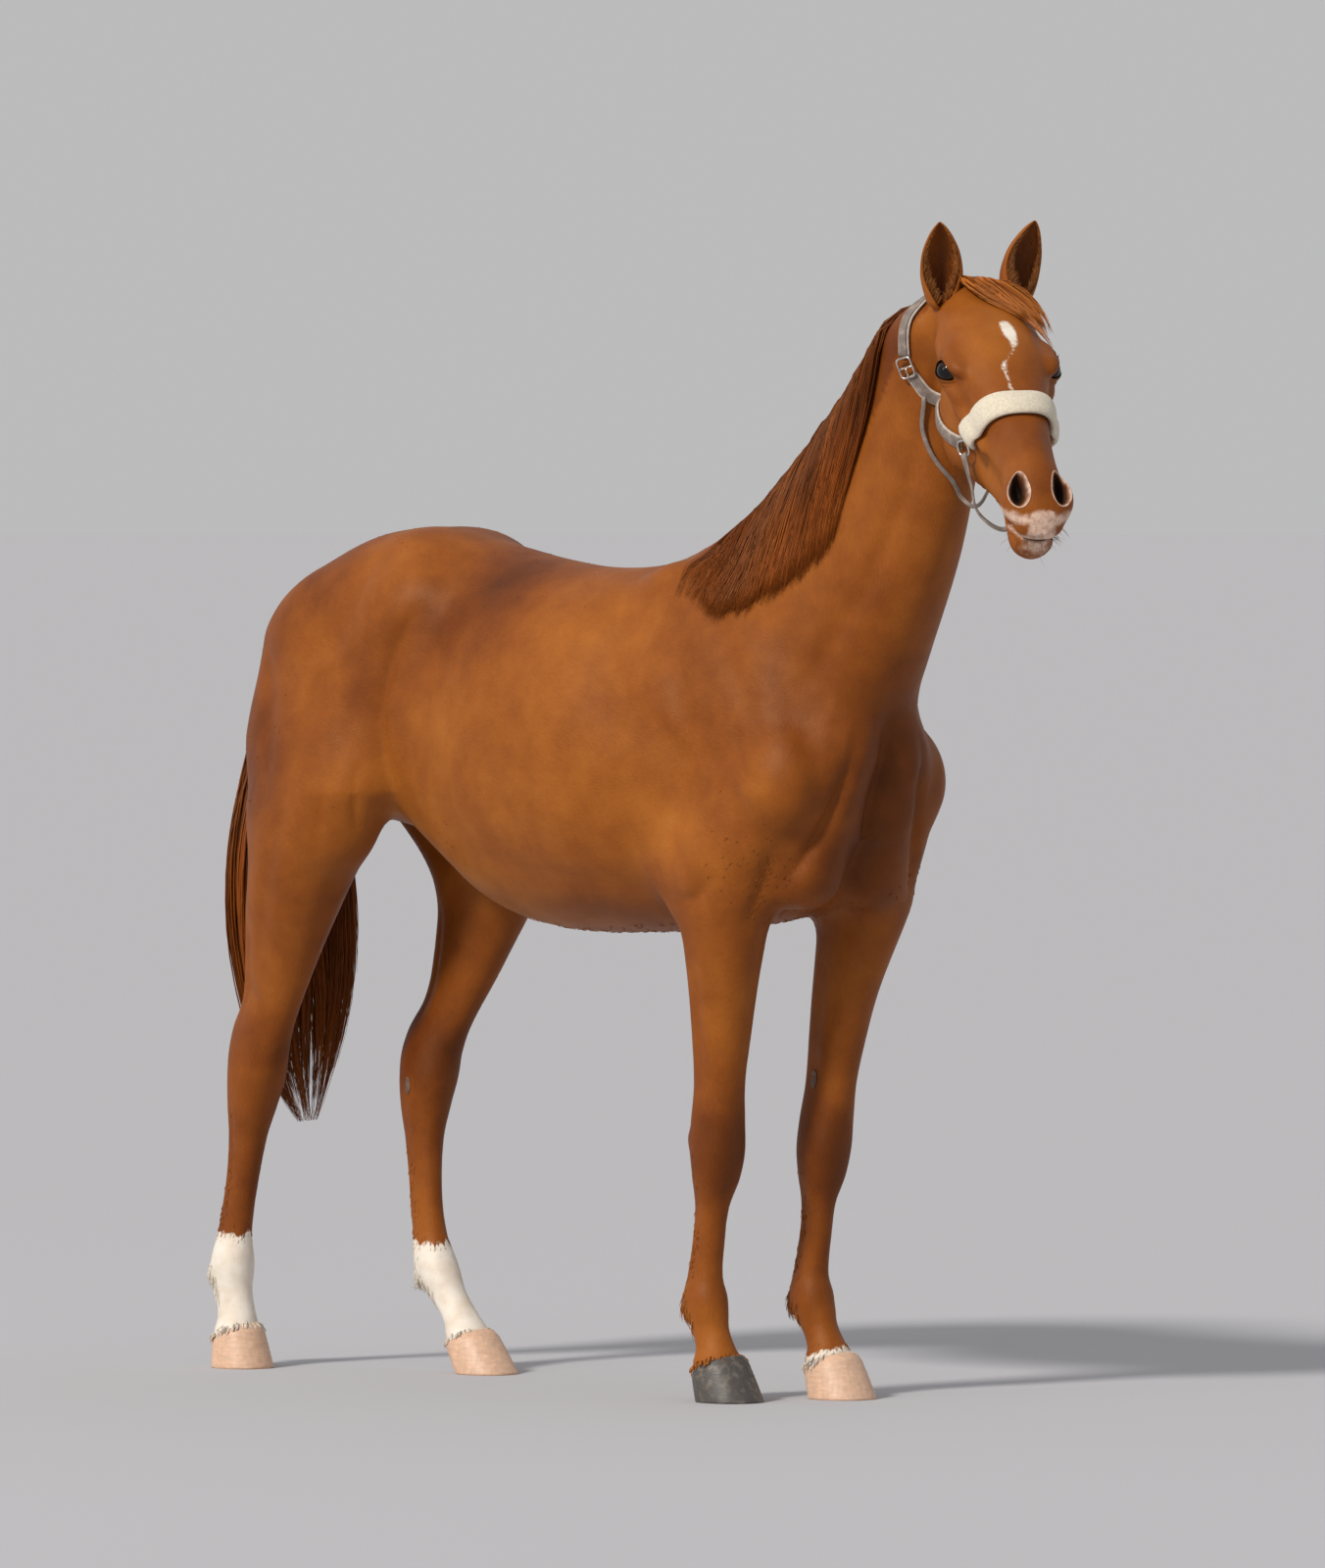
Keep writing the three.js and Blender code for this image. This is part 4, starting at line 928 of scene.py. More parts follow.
# Darker and lighter parts of the coat as [place, radius, amount], on both sides: partly the coat's own
# colour, partly painted shade and painted highlights, as marked below.
SHADES = [
    [(-290, -110, 1480), 95, -0.55],
    # Painted shade in the flank's hollow.
    [(-430, -190, 1380), 80, -0.3],
    # Painted shade on the front of the chest, here and in the next row.
    [(590, 0, 1150), 120, -0.5],
    [(520, 0, 960), 110, -0.5],
    [(300, -190, 940), 60, -0.2],
    # Painted highlights on the outer bulges of the thigh, stifle, barrel, point of the shoulder and arm, in
    # the next five rows.
    [(-700, -215, 1290), 90, 0.25],
    [(-640, -215, 1060), 90, 0.25],
    [(0, -255, 1150), 240, 0.25],
    [(480, -210, 1080), 60, 0.4],
    [(280, -215, 1030), 90, 0.3],
    [(-560, -60, 1000), 150, 0.35],
    [(-300, 0, 860), 190, 0.35],
    [(-870, -150, 1150), 110, -0.3],
]
HEAD_SHADES = [
    [(150, -150, 90), 90, 0.35],
    [(190, 20, 0), 70, 0.35],
    [(330, -120, 60), 80, 0.4],
    [(440, -20, 0), 60, -0.25],
    [(535, -25, 0), 38, -0.45],
    [(520, -60, 62), 34, -0.25],
    [(470, -90, 50), 60, 0.25],
    [(60, 10, 0), 60, 0.1],
]


def star_mask(s, n, v):
    """Millimetres inside the star and stripe, negative outside."""
    best = np.full(s.shape, -60.0)
    for (s0, v0, r0), (s1, v1, r1) in zip(STAR, STAR[1:]):
        t = np.clip(((s - s0) * (s1 - s0) + (v - v0) * (v1 - v0)) / ((s1 - s0) ** 2 + (v1 - v0) ** 2), 0, 1)
        gap = np.hypot(s - s0 - t * (s1 - s0), v - v0 - t * (v1 - v0))
        best = np.maximum(best, r0 + t * (r1 - r0) - gap)
    return np.where(n > -40, best, -60)


def markings(p, marks):
    """Per point of the skin: white hair, pale muzzle, darkness and light of the coat, some of it painted
    shade and painted highlights.
    """
    x, y, z = p.T
    s, n, v = in_head(x, y, z)
    is_head = (x > 760) & (z > 1440) & (s > -40)
    white = np.where(is_head, star_mask(s, n, v), -60.0)
    for name, leg in LEGS.items():
        ax, ay = leg_axis(leg)(z).T
        mine = (np.hypot(x - ax, y - ay) < 120) & (z < 420)
        turn = np.arctan2(y - ay, x - ax)
        ragged = 5 * np.sin(5 * turn + 1) + 4 * np.sin(11 * turn) + 2 * np.sin(23 * turn)
        if not leg["fore"]:
            top = (250 if leg["side"] < 0 else 240) + ragged
            white = np.where(mine, top - z, white)
        elif leg["side"] > 0:
            heel = 70 * np.exp(-((np.angle(np.exp(1j * (turn - 2.9))) / 0.45) ** 2))
            white = np.where(mine, 19 + heel + 0.4 * ragged - above_hoof(leg, x, z), white)
    side = np.abs(v)
    lip = mouth_line(s)[:, 0]
    front = np.clip((s - 562) / 12, 0, 1) * np.clip((-n - 62) / 14, 0, 1) * np.clip((30 - side) / 14, 0, 1)
    edge = np.exp(-(((n - lip - 3) / 11) ** 2)) * np.clip((s - 480) / 30, 0, 1) * 1.1
    band = np.exp(-(((n + 96 - (s - 526) * 0.25) / 13) ** 2)) * np.clip((s - 500) / 30, 0, 1) * 0.7
    chin = np.clip((s - 545) / 20, 0, 1) * np.clip((lip - n) / 10, 0, 1) * 0.42
    pale = np.where(is_head, np.maximum.reduce([front, edge, band, chin]), 0)
    ring = marks["nostril"]
    pale = np.maximum(pale, np.interp(ring, [0, 1, 3, 5, 7], [0, 0.6, 0.6, 0.35, 0.15]) * (ring > 0))
    # Near-black deep in the nostril's passage: painted shade.
    dark = np.interp(ring, [0, 4, 6, 8], [0, 0.15, 0.8, 1])
    dark = np.maximum(dark, np.interp(marks["lid"], [0, 1, 2], [0, 0.9, 1]))
    # Near-black along the crease between the lips: painted shade.
    gap, ahead = mouth_gap(p)
    dark = np.maximum(dark, ahead * np.minimum(groove(gap, 4.4, 1.25), 1) * is_head)
    shade = np.zeros(len(p))
    for place, radius, amount in SHADES:
        for side in (1, -1):
            gap = np.linalg.norm(p - np.array(place) * [1, side, 1], axis=1)
            shade += amount * np.exp(-((gap / radius) ** 2)) * (1 if place[1] else 0.5)
    for place, radius, amount in HEAD_SHADES:
        gap = np.sqrt((s - place[0]) ** 2 + (n - place[1]) ** 2 + (np.abs(v) - place[2]) ** 2)
        shade += amount * np.exp(-((gap / radius) ** 2)) * is_head
    up_neck, over_neck = in_neck(x, z)
    # Painted shadow of the mane along the top of the neck.
    shade -= 0.5 * np.exp(-(((over_neck - 40) / 110) ** 2)) * np.clip(up_neck / 200, 0, 1) * (s < 0)
    for name, leg in LEGS.items():
        ax, ay = leg_axis(leg)(z).T
        mine = (np.hypot(x - ax, y - ay) < 120) & (z < 900)
        knee = 470 if leg["fore"] else 600
        shade -= 0.35 * np.exp(-(((z - knee) / 70) ** 2)) * mine
        shade -= 0.3 * np.clip((x - ax) / 40, 0, 1) * mine * np.exp(-(((z - 330) / 150) ** 2))
        shade += 0.2 * np.exp(-(((z - 120) / 60) ** 2)) * mine
    upright = np.clip((900 - z) / 120, 0, 1)
    upright = np.maximum(upright, np.clip((up_neck - 120) / 150, 0, 1))
    return {"white": white, "pale": pale, "dark": dark, "shade": shade, "upright": upright}


# ------------------------------------------------------------------ materials
class Nodes:
    """A new material, with short ways to add, link and set its shader nodes."""

    def __init__(self, name):
        self.material = bpy.data.materials.new(name)
        self.material.use_nodes = True
        self.tree = self.material.node_tree

    def add(self, kind, **values):
        node = self.tree.nodes.new(kind)
        for key, value in values.items():
            setattr(node, key, value)
        return node

    def put(self, socket, value):
        """Links a socket to another node's, or sets it to a number or colour."""
        if hasattr(value, "is_linked"):
            self.tree.links.new(value, socket)
        elif isinstance(value, (int, float)):
            socket.default_value = value
        elif socket.type == "RGBA":
            socket.default_value = (*value[:3], 1)
        else:
            socket.default_value = value

    def filled(self, kind, sockets, **values):
        node = self.add(kind, **values)
        for name, value in sockets.items():
            self.put(node.inputs[name], value)
        return node

    def surface(self, sockets):
        """Sets the sockets of the material's shader and gives the material back."""
        for name, value in sockets.items():
            self.put(self.tree.nodes["Principled BSDF"].inputs[name], value)
        return self.material

    def noise(self, scale, detail=3, stretch=(1, 1, 1), roughness=0.5, turned=None):
        """Noise on the object's own coordinates; turned draws it out along one direction instead."""
        where = self.add("ShaderNodeTexCoord").outputs["Object"]
        sockets = {"Vector": where, "Scale": stretch}
        if turned is not None:
            sockets["Rotation"] = turned
        mapping = self.filled("ShaderNodeMapping", sockets, vector_type="TEXTURE" if turned else "POINT")
        sockets = {"Scale": scale, "Detail": detail, "Roughness": roughness, "Vector": mapping.outputs[0]}
        return self.filled("ShaderNodeTexNoise", sockets).outputs["Fac"]

    def hairs(self, turned):
        """Noise drawn out along one direction, as short hairs lie."""
        return self.noise(520, 3, (9, 1, 1), 0.65, turned)

    def attribute(self, name):
        return self.add("ShaderNodeAttribute", attribute_name=name).outputs["Fac"]

    def plus(self, a, b):
        return self.filled("ShaderNodeMath", {0: a, 1: b}, operation="ADD").outputs[0]

    def times(self, a, b):
        return self.filled("ShaderNodeMath", {0: a, 1: b}, operation="MULTIPLY").outputs[0]

    def between(self, value, low, high):
        sockets = {"Value": value, "From Min": low, "From Max": high}
        return self.filled("ShaderNodeMapRange", sockets, interpolation_type="SMOOTHSTEP").outputs["Result"]

    def mix(self, share, a, b):
        return self.filled("ShaderNodeMix", {0: share, 6: a, 7: b}, data_type="RGBA").outputs[2]

    def ramp(self, value, stops):
        node = self.filled("ShaderNodeValToRGB", {"Fac": value})
        ramp = node.color_ramp
        while len(ramp.elements) < len(stops):
            ramp.elements.new(0.5)
        for element, (at, colour) in zip(ramp.elements, stops):
            element.position = at
            element.color = (*colour, 1)
        return node.outputs["Color"]

    def bump(self, height, distance, strength, before=None):
        sockets = {"Height": height, "Distance": distance, "Strength": strength}
        if before is not None:
            sockets["Normal"] = before
        return self.filled("ShaderNodeBump", sockets).outputs["Normal"]


def put_attribute(made, name, values):
    layer = made.data.attributes.new(name, "FLOAT", "POINT")
    layer.data.foreach_set("value", np.asarray(values, np.float32))


def coat_material(settings):
    """Short glossy hair: chestnut, its darker and lighter parts with painted shade and painted sheen among
    them, white markings and the pale muzzle.
    """
    n = Nodes("chestnut_coat")
    base = np.array(settings.coat_colour)
    white, skin = np.array(settings.white_colour), np.array(settings.muzzle_colour)
    fine = n.mix(n.attribute("upright"), n.hairs((0, 0.35, 0)), n.hairs((0, 1.45, 0)))
    # Noise in two scales: the coat's own dapples, with lighter patches that are painted sheen.
    patches = n.plus(n.noise(3.4, 4), n.times(n.noise(16, 4), 0.45))
    mottle_and_sheen = n.times(n.plus(patches, -0.72), 1.5)
    strands = n.times(n.plus(fine, -0.5), 0.5)
    tone = n.plus(n.plus(n.attribute("shade"), mottle_and_sheen), strands)
    coat = n.ramp(
        n.plus(n.times(tone, 0.5), 0.5),
        [
            (0.0, base * [0.25, 0.2, 0.18]), (0.3, base * [0.6, 0.52, 0.5]), (0.52, base),
            (0.75, base * [1.45, 1.7, 2.0]), (1.0, base * [2.0, 2.8, 5.5]),
        ],
    )
    ragged = n.times(n.plus(fine, -0.5), 9)
    spread = n.times(n.plus(n.noise(120, 3), -0.5), 5)
    edge = n.plus(n.attribute("white"), n.plus(ragged, spread))
    white_hair = n.ramp(n.noise(30, 4), [(0.3, white * [0.86, 0.8, 0.74]), (0.6, white)])
    coat = n.mix(n.between(edge, -2.5, 3.5), coat, white_hair)
    blotch = n.plus(n.attribute("pale"), n.times(n.plus(n.noise(70, 4), -0.5), 0.7))
    bare = n.ramp(n.noise(130, 3), [(0.35, skin * [0.7, 0.62, 0.6]), (0.6, skin)])
    coat = n.mix(n.times(n.between(blotch, 0.2, 0.7), 0.9), coat, bare)
    return n.surface({
        "Base Color": n.mix(n.attribute("dark"), coat, (0.012, 0.006, 0.005)),
        "Roughness": n.plus(n.times(n.noise(24, 4), 0.16), 0.44),
        "Specular IOR Level": 0.32,
        "Specular Tint": (1.0, 0.72, 0.5),
        "Normal": n.bump(fine, 0.0012, 0.55, n.bump(n.noise(26, 4), 0.004, 0.25)),
    })


def unit(v):
    v = np.asarray(v, float)
    return v / np.maximum(np.linalg.norm(v, axis=-1, keepdims=True), 1e-9)


def grid_faces(rows, columns, looped=False, first=0):
    """Quads between rows of points that go round; a looped grid joins its last row to its first."""
    faces = []
    for i in range(rows if looped else rows - 1):
        for j in range(columns):
            k, m = (i + 1) % rows, (j + 1) % columns
            faces.append([first + a * columns + b for a, b in ((i, j), (i, m), (k, m), (k, j))])
    return faces


def capped_faces(rows, columns):
    """A grid of quads with its first and last row closed by a face each."""
    last = (rows - 1) * columns
    ends = [list(range(columns))[::-1], list(range(last, last + columns))]
    return grid_faces(rows, columns) + ends


def spline(points, count):
    """Evenly spaced points on a smooth curve through a few."""
    points = np.asarray(points, float)
    steps = np.r_[0, np.cumsum(np.linalg.norm(np.diff(points, axis=0), axis=1))]
    at = curve(np.column_stack([steps, points]))
    return at(np.linspace(0, steps[-1], count))


def outward(p):
    return unit(slope_of(flesh, np.array(p, float)))


# ------------------------------------------------------------------ ears
EAR_ROOT = (16.0, -30.0, 64.0)
EAR_LENGTH = 146.0
ear_shape = curve(
    [[0, 28, 25], [0.15, 34, 26], [0.35, 38, 22], [0.6, 34, 17], [0.8, 23, 12], [0.93, 12, 6.5], [1, 2.5, 2]]
)
ear_opening = curve([[0, 20], [0.1, 34], [0.3, 58], [0.55, 68], [0.8, 62], [1, 50]])


def ear_frame(side):
    root = on_head(EAR_ROOT[0], EAR_ROOT[1], side * EAR_ROOT[2])
    up = unit([30, side * 32 - 4, 158])
    facing = math.radians(-29.5 + side * 15)
    front = np.array([math.cos(facing), math.sin(facing), 0])
    front = unit(front - up * (front @ up))
    return root, up, front, np.cross(front, up)


def ear_mesh(side):
    """A cup of gristle and skin: rows up the ear, each going round outside and back inside."""
    root, up, front, across = ear_frame(side)
    across_head = unit(on_head(0, 0, 1) - POLL)
    rows, half = np.linspace(-0.14, 1, 26), 15
    verts, inside, up_the_ear = [], [], []
    for t in rows:
        width, depth = ear_shape(np.array([max(t, 0)]))[0]
        gap = math.radians(ear_opening(np.array([max(t, 0)]))[0, 0])
        sunk = max(0, -t) / 0.14
        flare = 1 - 0.3 * sunk
        thick = 4.2 * (1 - 0.55 * max(t, 0))
        centre = root + up * t * EAR_LENGTH + front * (-8 * math.sin(math.pi * max(t, 0)))
        centre = centre - side * across_head * 16 * sunk
        turn = np.linspace(gap, 2 * math.pi - gap, half)
        for inner in (0, 1):
            w, d = (width * flare - inner * thick), (depth * flare - inner * thick)
            w, d = max(w, 0.4), max(d, 0.4)
            ring = centre + np.outer(np.sin(turn) * w, across) + np.outer(np.cos(turn) * d, front)
            if inner:
                ring = ring[::-1]
            verts.append(ring)
            inside.append(inner * np.abs(np.cos(np.linspace(0, math.pi, half))) * -1 + inner)
            up_the_ear.append(np.full(half, max(t, 0)))
    verts = np.concatenate(verts)
    inside, up_the_ear = np.concatenate(inside), np.concatenate(up_the_ear)
    looks = {
        "white": np.full(len(verts), -60.0),
        "pale": np.zeros(len(verts)),
        # Darker inside the cup, most at its middle and near its base, in the next two rows: dark skin with
        # painted shade.
        "dark": 0.3 * inside * (1 - 0.6 * up_the_ear),
        "shade": 0.05 - 0.6 * inside + 0.1 * up_the_ear,
        "upright": np.ones(len(verts)),
    }
    return verts, capped_faces(len(rows), 2 * half), looks


# ------------------------------------------------------------------ eyes
def eye_frame(side):
    """The eyeball's centre with out, along and over as directions of the row frame."""
    centre = on_head(EYE[0], EYE[1], side * EYE[2])
    along, over, out = (unit(on_head(d[0], d[2], side * d[1]) - POLL) for d in eye_axes())
    return centre, out, along, over


def eyeball_mesh(side):
    centre, out, along, over = eye_frame(side)
    rings, round_ = 28, 40
    verts, faces = [centre + out * EYE_RADIUS], []
    for i in range(1, rings):
        angle = math.pi * i / rings
        turn = circle(round_)
        ring = centre + out * EYE_RADIUS * math.cos(angle)
        spread = EYE_RADIUS * math.sin(angle)
        verts += list(ring + np.outer(np.cos(turn) * spread, along) + np.outer(np.sin(turn) * spread, over))
    verts.append(centre - out * EYE_RADIUS)
    last = len(verts) - 1
    for j in range(round_):
        k = (j + 1) % round_
        faces.append((0, 1 + k, 1 + j))
        faces.append((last, last - round_ + j, last - round_ + k))
    faces += grid_faces(rings - 1, round_, first=1)
    return np.array(verts), faces


# ------------------------------------------------------------------ hooves
def hoof_mesh(leg):
    """Horn from the coronet to the ground, with heels, a coronary ridge and faint growth rings."""
    axis, at = leg_axis(leg), curve(FORE if leg["fore"] else HIND)
    round_, rows = 64, 22
    turn = circle(round_)
    c, d = np.cos(turn), np.sin(turn)
    x64 = axis(np.array([64.0]))[0, 0]

    def outline(z):
        high, low, width, _, above, below = at(np.array([z]))[0]
        half = np.where(c > 0, high, -low)
        power = np.where(c > 0, above, below)
        radius = 1 / ((np.abs(d) / width) ** power + (np.abs(c) / half) ** power) ** (1 / power)
        heel = np.exp(-(((turn - math.pi) / 0.2) ** 2))
        return radius - 7 * heel * min(1, max(0, 1 - z / 90))

    verts = []
    for i in range(rows + 1):
        share = i / rows
        level = 64 * share
        middle = axis(np.array([level]))[0]
        radius = outline(level)
        x = middle[0] + radius * c
        top = 64 + 0.351 * (x - x64) + 3
        z = share * top
        middle = axis(np.array([float(np.mean(z))]))[0]
        ridge = 0.8 * math.exp(-(((share - 0.84) / 0.05) ** 2)) - 4.6 * max(0, (share - 0.78) / 0.22) ** 1.5
        rings = 0.25 * math.sin(share * 60)
        radius = radius + ridge + rings - (1.0 if i == 0 else 0)
        verts.append(np.column_stack([middle[0] + radius * c, middle[1] + radius * d, z]))
    base = verts[0]
    sole = base.copy()
    sole[:, :2] = base.mean(0)[:2] + (base[:, :2] - base.mean(0)[:2]) * 0.86
    lid = verts[-1].copy()
    lid[:, :2] = lid.mean(0)[:2] + (lid[:, :2] - lid.mean(0)[:2]) * 0.8
    lid[:, 2] -= 4
    return np.concatenate([sole, *verts, lid]), capped_faces(rows + 3, round_)


def chestnut_mesh(leg):
    """The horny patch on the inside of a leg, half sunk in the skin."""
    level = 575.0 if leg["fore"] else 530.0
    middle = leg_axis(leg)(np.array([level]))[0]
    centre = settle(np.array([[middle[0] - 6, middle[1] - leg["side"] * 34, level]]), -COAT, 8)[0]
    out = outward(centre[None])[0]
    up = unit(np.array([0, 0, 1.0]) - out * out[2])
    across = np.cross(out, up)
    verts, rings, round_ = [], 9, 16
    for i in range(rings):
        angle = math.pi * (0.02 + 0.96 * i / (rings - 1))
        turn = circle(round_)
        wide, high = np.cos(turn) * math.sin(angle), np.sin(turn) * math.sin(angle)
        rough = 1 + 0.12 * np.sin(turn * 3 + i)
        middle = centre + up * 17 * math.cos(angle)
        verts.append(middle + np.outer(wide * 7 * rough, across) + np.outer(high * 2.6, out))
    return np.concatenate(verts), [face[::-1] for face in capped_faces(rings, round_)]


# ------------------------------------------------------------------ hair
def body_map(points):
    """Where points of the skin lie on an unwrap of its own shape: along each part and round it."""
    x, y, z = points.T
    s, n, v = in_head(x, y, z)
    neck_s, neck_n = in_neck(x, z)
    is_head = (s > -30) & (x > 800) & (z > 1500)
    is_neck = ~is_head & (neck_s > 100)
    is_leg = ~is_head & ~is_neck & (z < 860)
    round_trunk = np.arctan2(y, z - 1180) / (2 * math.pi) + 0.5
    u = 0.02 + 0.46 * np.clip((x + 1000) / 1560, 0, 1)
    w = 0.02 + 0.46 * round_trunk
    u = np.where(is_neck, 0.52 + 0.22 * np.clip((neck_s - 100) / 700, 0, 1), u)
    w = np.where(is_neck, 0.02 + 0.46 * (np.arctan2(y, neck_n + 60) / (2 * math.pi) + 0.5), w)
    u = np.where(is_head, 0.77 + 0.2 * np.clip((s + 30) / 640, 0, 1), u)
    w = np.where(is_head, 0.02 + 0.46 * (np.arctan2(v, n + 80) / (2 * math.pi) + 0.5), w)
    for k, leg in enumerate(LEGS.values()):
        ax, ay = leg_axis(leg)(z).T
        mine = is_leg & (np.hypot(x - ax, y - ay) < 190) & (y * leg["side"] > -20) & ((x > 0) == leg["fore"])
        u = np.where(mine, 0.02 + 0.24 * k + 0.2 * (np.arctan2(y - ay, x - ax) / (2 * math.pi) + 0.5), u)
        w = np.where(mine, 0.53 + 0.44 * np.clip(z / 860, 0, 1), w)
    return np.column_stack([u, w])


def inside_box(points, margin):
    """Keeps points in millimetres within the CAD model's own box."""
    low, high = (np.array(corner) * 1000 - STAND for corner in CAD_BOX)
    return np.clip(points, low + margin, high - margin)


def hair_mesh(name, paths, widths, flat_way, tones=None):
    """Three-sided tapering hairs: paths (hair, point, 3) in millimetres, one width and tone each."""
    paths = inside_box(paths, 1.2)
    hairs, count, _ = paths.shape
    along = np.gradient(paths, axis=1)
    along = unit(along)
    side = unit(np.cross(along, flat_way))
    over = np.cross(side, along)
    t = np.linspace(0, 1, count)
    taper = np.interp(t, [0, 0.12, 0.6, 1], [0.7, 1, 0.85, 0.12])
    radius = (widths[:, None] * 0.5 * taper[None])[..., None]
    corners = []
    for k in range(3):
        a = 2 * math.pi * k / 3 + math.pi / 2
        corners.append(paths + radius * (math.cos(a) * side * 1.5 + math.sin(a) * over * 0.9))
    verts = np.stack(corners, 2).reshape(-1, 3)
    base = (np.arange(hairs) * count * 3)[:, None]
    ring = np.arange(count - 1)[None] * 3
    quads = []
    for k in range(3):
        a, b = base + ring + k, base + ring + (k + 1) % 3
        quads.append(np.stack([a, a + 3, b + 3, b], -1).reshape(-1, 4))
    quads = np.concatenate(quads)
    ends = np.concatenate([base + [[0, 1, 2]], base + (count - 1) * 3 + [[0, 2, 1]]])
    mesh = bpy.data.meshes.new(name)
    loops = np.concatenate([quads.ravel(), ends.ravel()]).astype(np.int32)
    starts = np.concatenate([np.arange(len(quads)) * 4, len(quads) * 4 + np.arange(len(ends)) * 3])
    mesh.vertices.add(len(verts))
    mesh.vertices.foreach_set("co", to_metres(verts).astype(np.float32).ravel())
    mesh.loops.add(len(loops))
    mesh.loops.foreach_set("vertex_index", loops)
    mesh.polygons.add(len(starts))
    mesh.polygons.foreach_set("loop_start", starts.astype(np.int32))
    mesh.polygons.foreach_set("use_smooth", np.ones(len(starts), bool))
    mesh.update(calc_edges=True)
    patch = body_map(paths[:, 0])
    local = np.stack(np.meshgrid(t, [0, 0.5, 1], indexing="ij"), -1) * 0.003
    uv = (patch[:, None, None] + local[None, :, :, ::-1]).reshape(-1, 2)
    mesh.uv_layers.new(name="OFBake").data.foreach_set("uv", uv[loops].astype(np.float32).ravel())
    made = bpy.data.objects.new(name, mesh)
    bpy.context.scene.collection.objects.link(made)
    tones = np.random.default_rng(hairs).random(hairs) if tones is None else tones
    put_attribute(made, "tone", np.repeat(tones, count * 3))
    put_attribute(made, "along", np.tile(np.repeat(t, 3), hairs))
    return made


class NeckSurface:
    """How far the neck's surface lies from its middle line, round the right-hand side."""

    def __init__(self):
        self.s = np.linspace(-80, 800, 56)
        self.turn = np.linspace(-0.6, 2.6, 40)
        s, turn = (a.ravel() for a in np.meshgrid(self.s, self.turn, indexing="ij"))
        near, far = np.zeros(len(s)), np.full(len(s), 480.0)
        reach = bisect(lambda d: flesh(*self.place(s, turn, d).T) < 0, near, far, 22)
        self.reach = reach.reshape(len(self.s), len(self.turn))

    def place(self, s, turn, radius):
        middle = -30 + 0.03 * s
        up = radius * np.cos(turn)
        return on_neck(s, middle, 0) + np.stack(
            [-up * NECK_UP[1], -radius * np.sin(turn), up * NECK_UP[0]], -1
        )

    def radius(self, s, turn):
        i = np.clip((s - self.s[0]) / (self.s[1] - self.s[0]), 0, len(self.s) - 1.001)
        j = np.clip((turn - self.turn[0]) / (self.turn[1] - self.turn[0]), 0, len(self.turn) - 1.001)
        a, b = i.astype(int), j.astype(int)
        u, w = i - a, j - b
        r = self.reach
        here = r[a, b] * (1 - u) + r[a + 1, b] * u
        beside = r[a, b + 1] * (1 - u) + r[a + 1, b + 1] * u
        return here * (1 - w) + beside * w


mane_edge = curve(
    [
        [16, 150], [40, 120], [66, 70], [90, 12], [127, -24], [188, -56], [277, -90], [340, -104],
        [370, -98], [450, -62], [553, -36], [664, -16], [759, 4], [810, 14],
    ]
)
mane_reach = curve(
    [[180, 20], [240, 34], [300, 56], [400, 104], [500, 168], [600, 252], [700, 326], [800, 386]]
)


def mane_paths(random, surface, locks, hairs_each, layer, points=11):
    """Locks over the right side of the neck; layer 0 lies on the skin, layer 1 over it."""
    t = np.linspace(0, 1, points)
    paths, widths, tones = [], [], []
    for root in np.sort(random.uniform(190, 797, locks)):
        length = random.uniform(0.66, 0.98) if layer == 0 else random.uniform(0.72, 1.1)
        thin = np.interp(root, [190, 260, 400], [0.12, 0.45, 1])
        wave, phase = random.uniform(-1, 1), random.uniform(0, 6)
        s0 = np.minimum(root + random.normal(0, 13, hairs_each), 802)
        pull = 1 - np.linspace(0, 1, points)[None] ** 1.5 * random.uniform(0.5, 0.95)
        share = length * random.uniform(0.8, 1.0, hairs_each) ** 0.7
        share *= 1 - (1 - thin) * random.uniform(0, 0.6)
        tip_s = root + (mane_reach(np.full(hairs_each, root))[:, 0] - root) * share
        tip_n = mane_edge(tip_s)[:, 0] + 4 + (1 - share) * 130
        tip_turn = np.full(hairs_each, 1.3)
        for _ in range(8):
            r = surface.radius(tip_s, tip_turn)
            tip_turn = np.arccos(np.clip((tip_n + 30 - 0.03 * tip_s) / r, -0.98, 0.995))
        start = random.normal(0.02, 0.05, hairs_each)
        bend = random.uniform(0.85, 1.15, hairs_each) * np.interp(root, [300, 650, 790], [1.35, 1.15, 0.7])
        s = root + (tip_s - root)[:, None] * t[None] ** 1.06 + (s0 - root)[:, None] * pull
        turn = start[:, None] + (tip_turn - start)[:, None] * t[None] ** bend[:, None]
        turn = turn + 0.03 * wave * np.sin(t * 5 + phase)[None]
        turn = turn + random.normal(0, 0.025, hairs_each)[:, None] * (t * (1.2 - t) * 3)[None]
        rise = (3 + 9 * layer * random.random() + random.uniform(-2, 2.5, hairs_each)) * (0.3 + 0.7 * thin)
        lift = rise[:, None] * np.sin(math.pi * np.clip(t, 0.0, 0.97) ** 0.7)[None] + 1.0
        r = surface.radius(np.clip(s, -70, 800).ravel(), turn.ravel()).reshape(s.shape)
        lock = surface.place(s, turn, r + lift)
        keep = random.random(hairs_each) < 0.12 + 0.88 * thin
        paths.append(lock[keep])
        widths.append(random.uniform(0.7, 1.4, keep.sum()) * (0.55 + 0.45 * thin))
        tones.append(np.clip(random.random() * 0.6 + random.random(keep.sum()) * 0.4, 0, 1))
    return np.concatenate(paths), np.concatenate(widths), np.concatenate(tones)


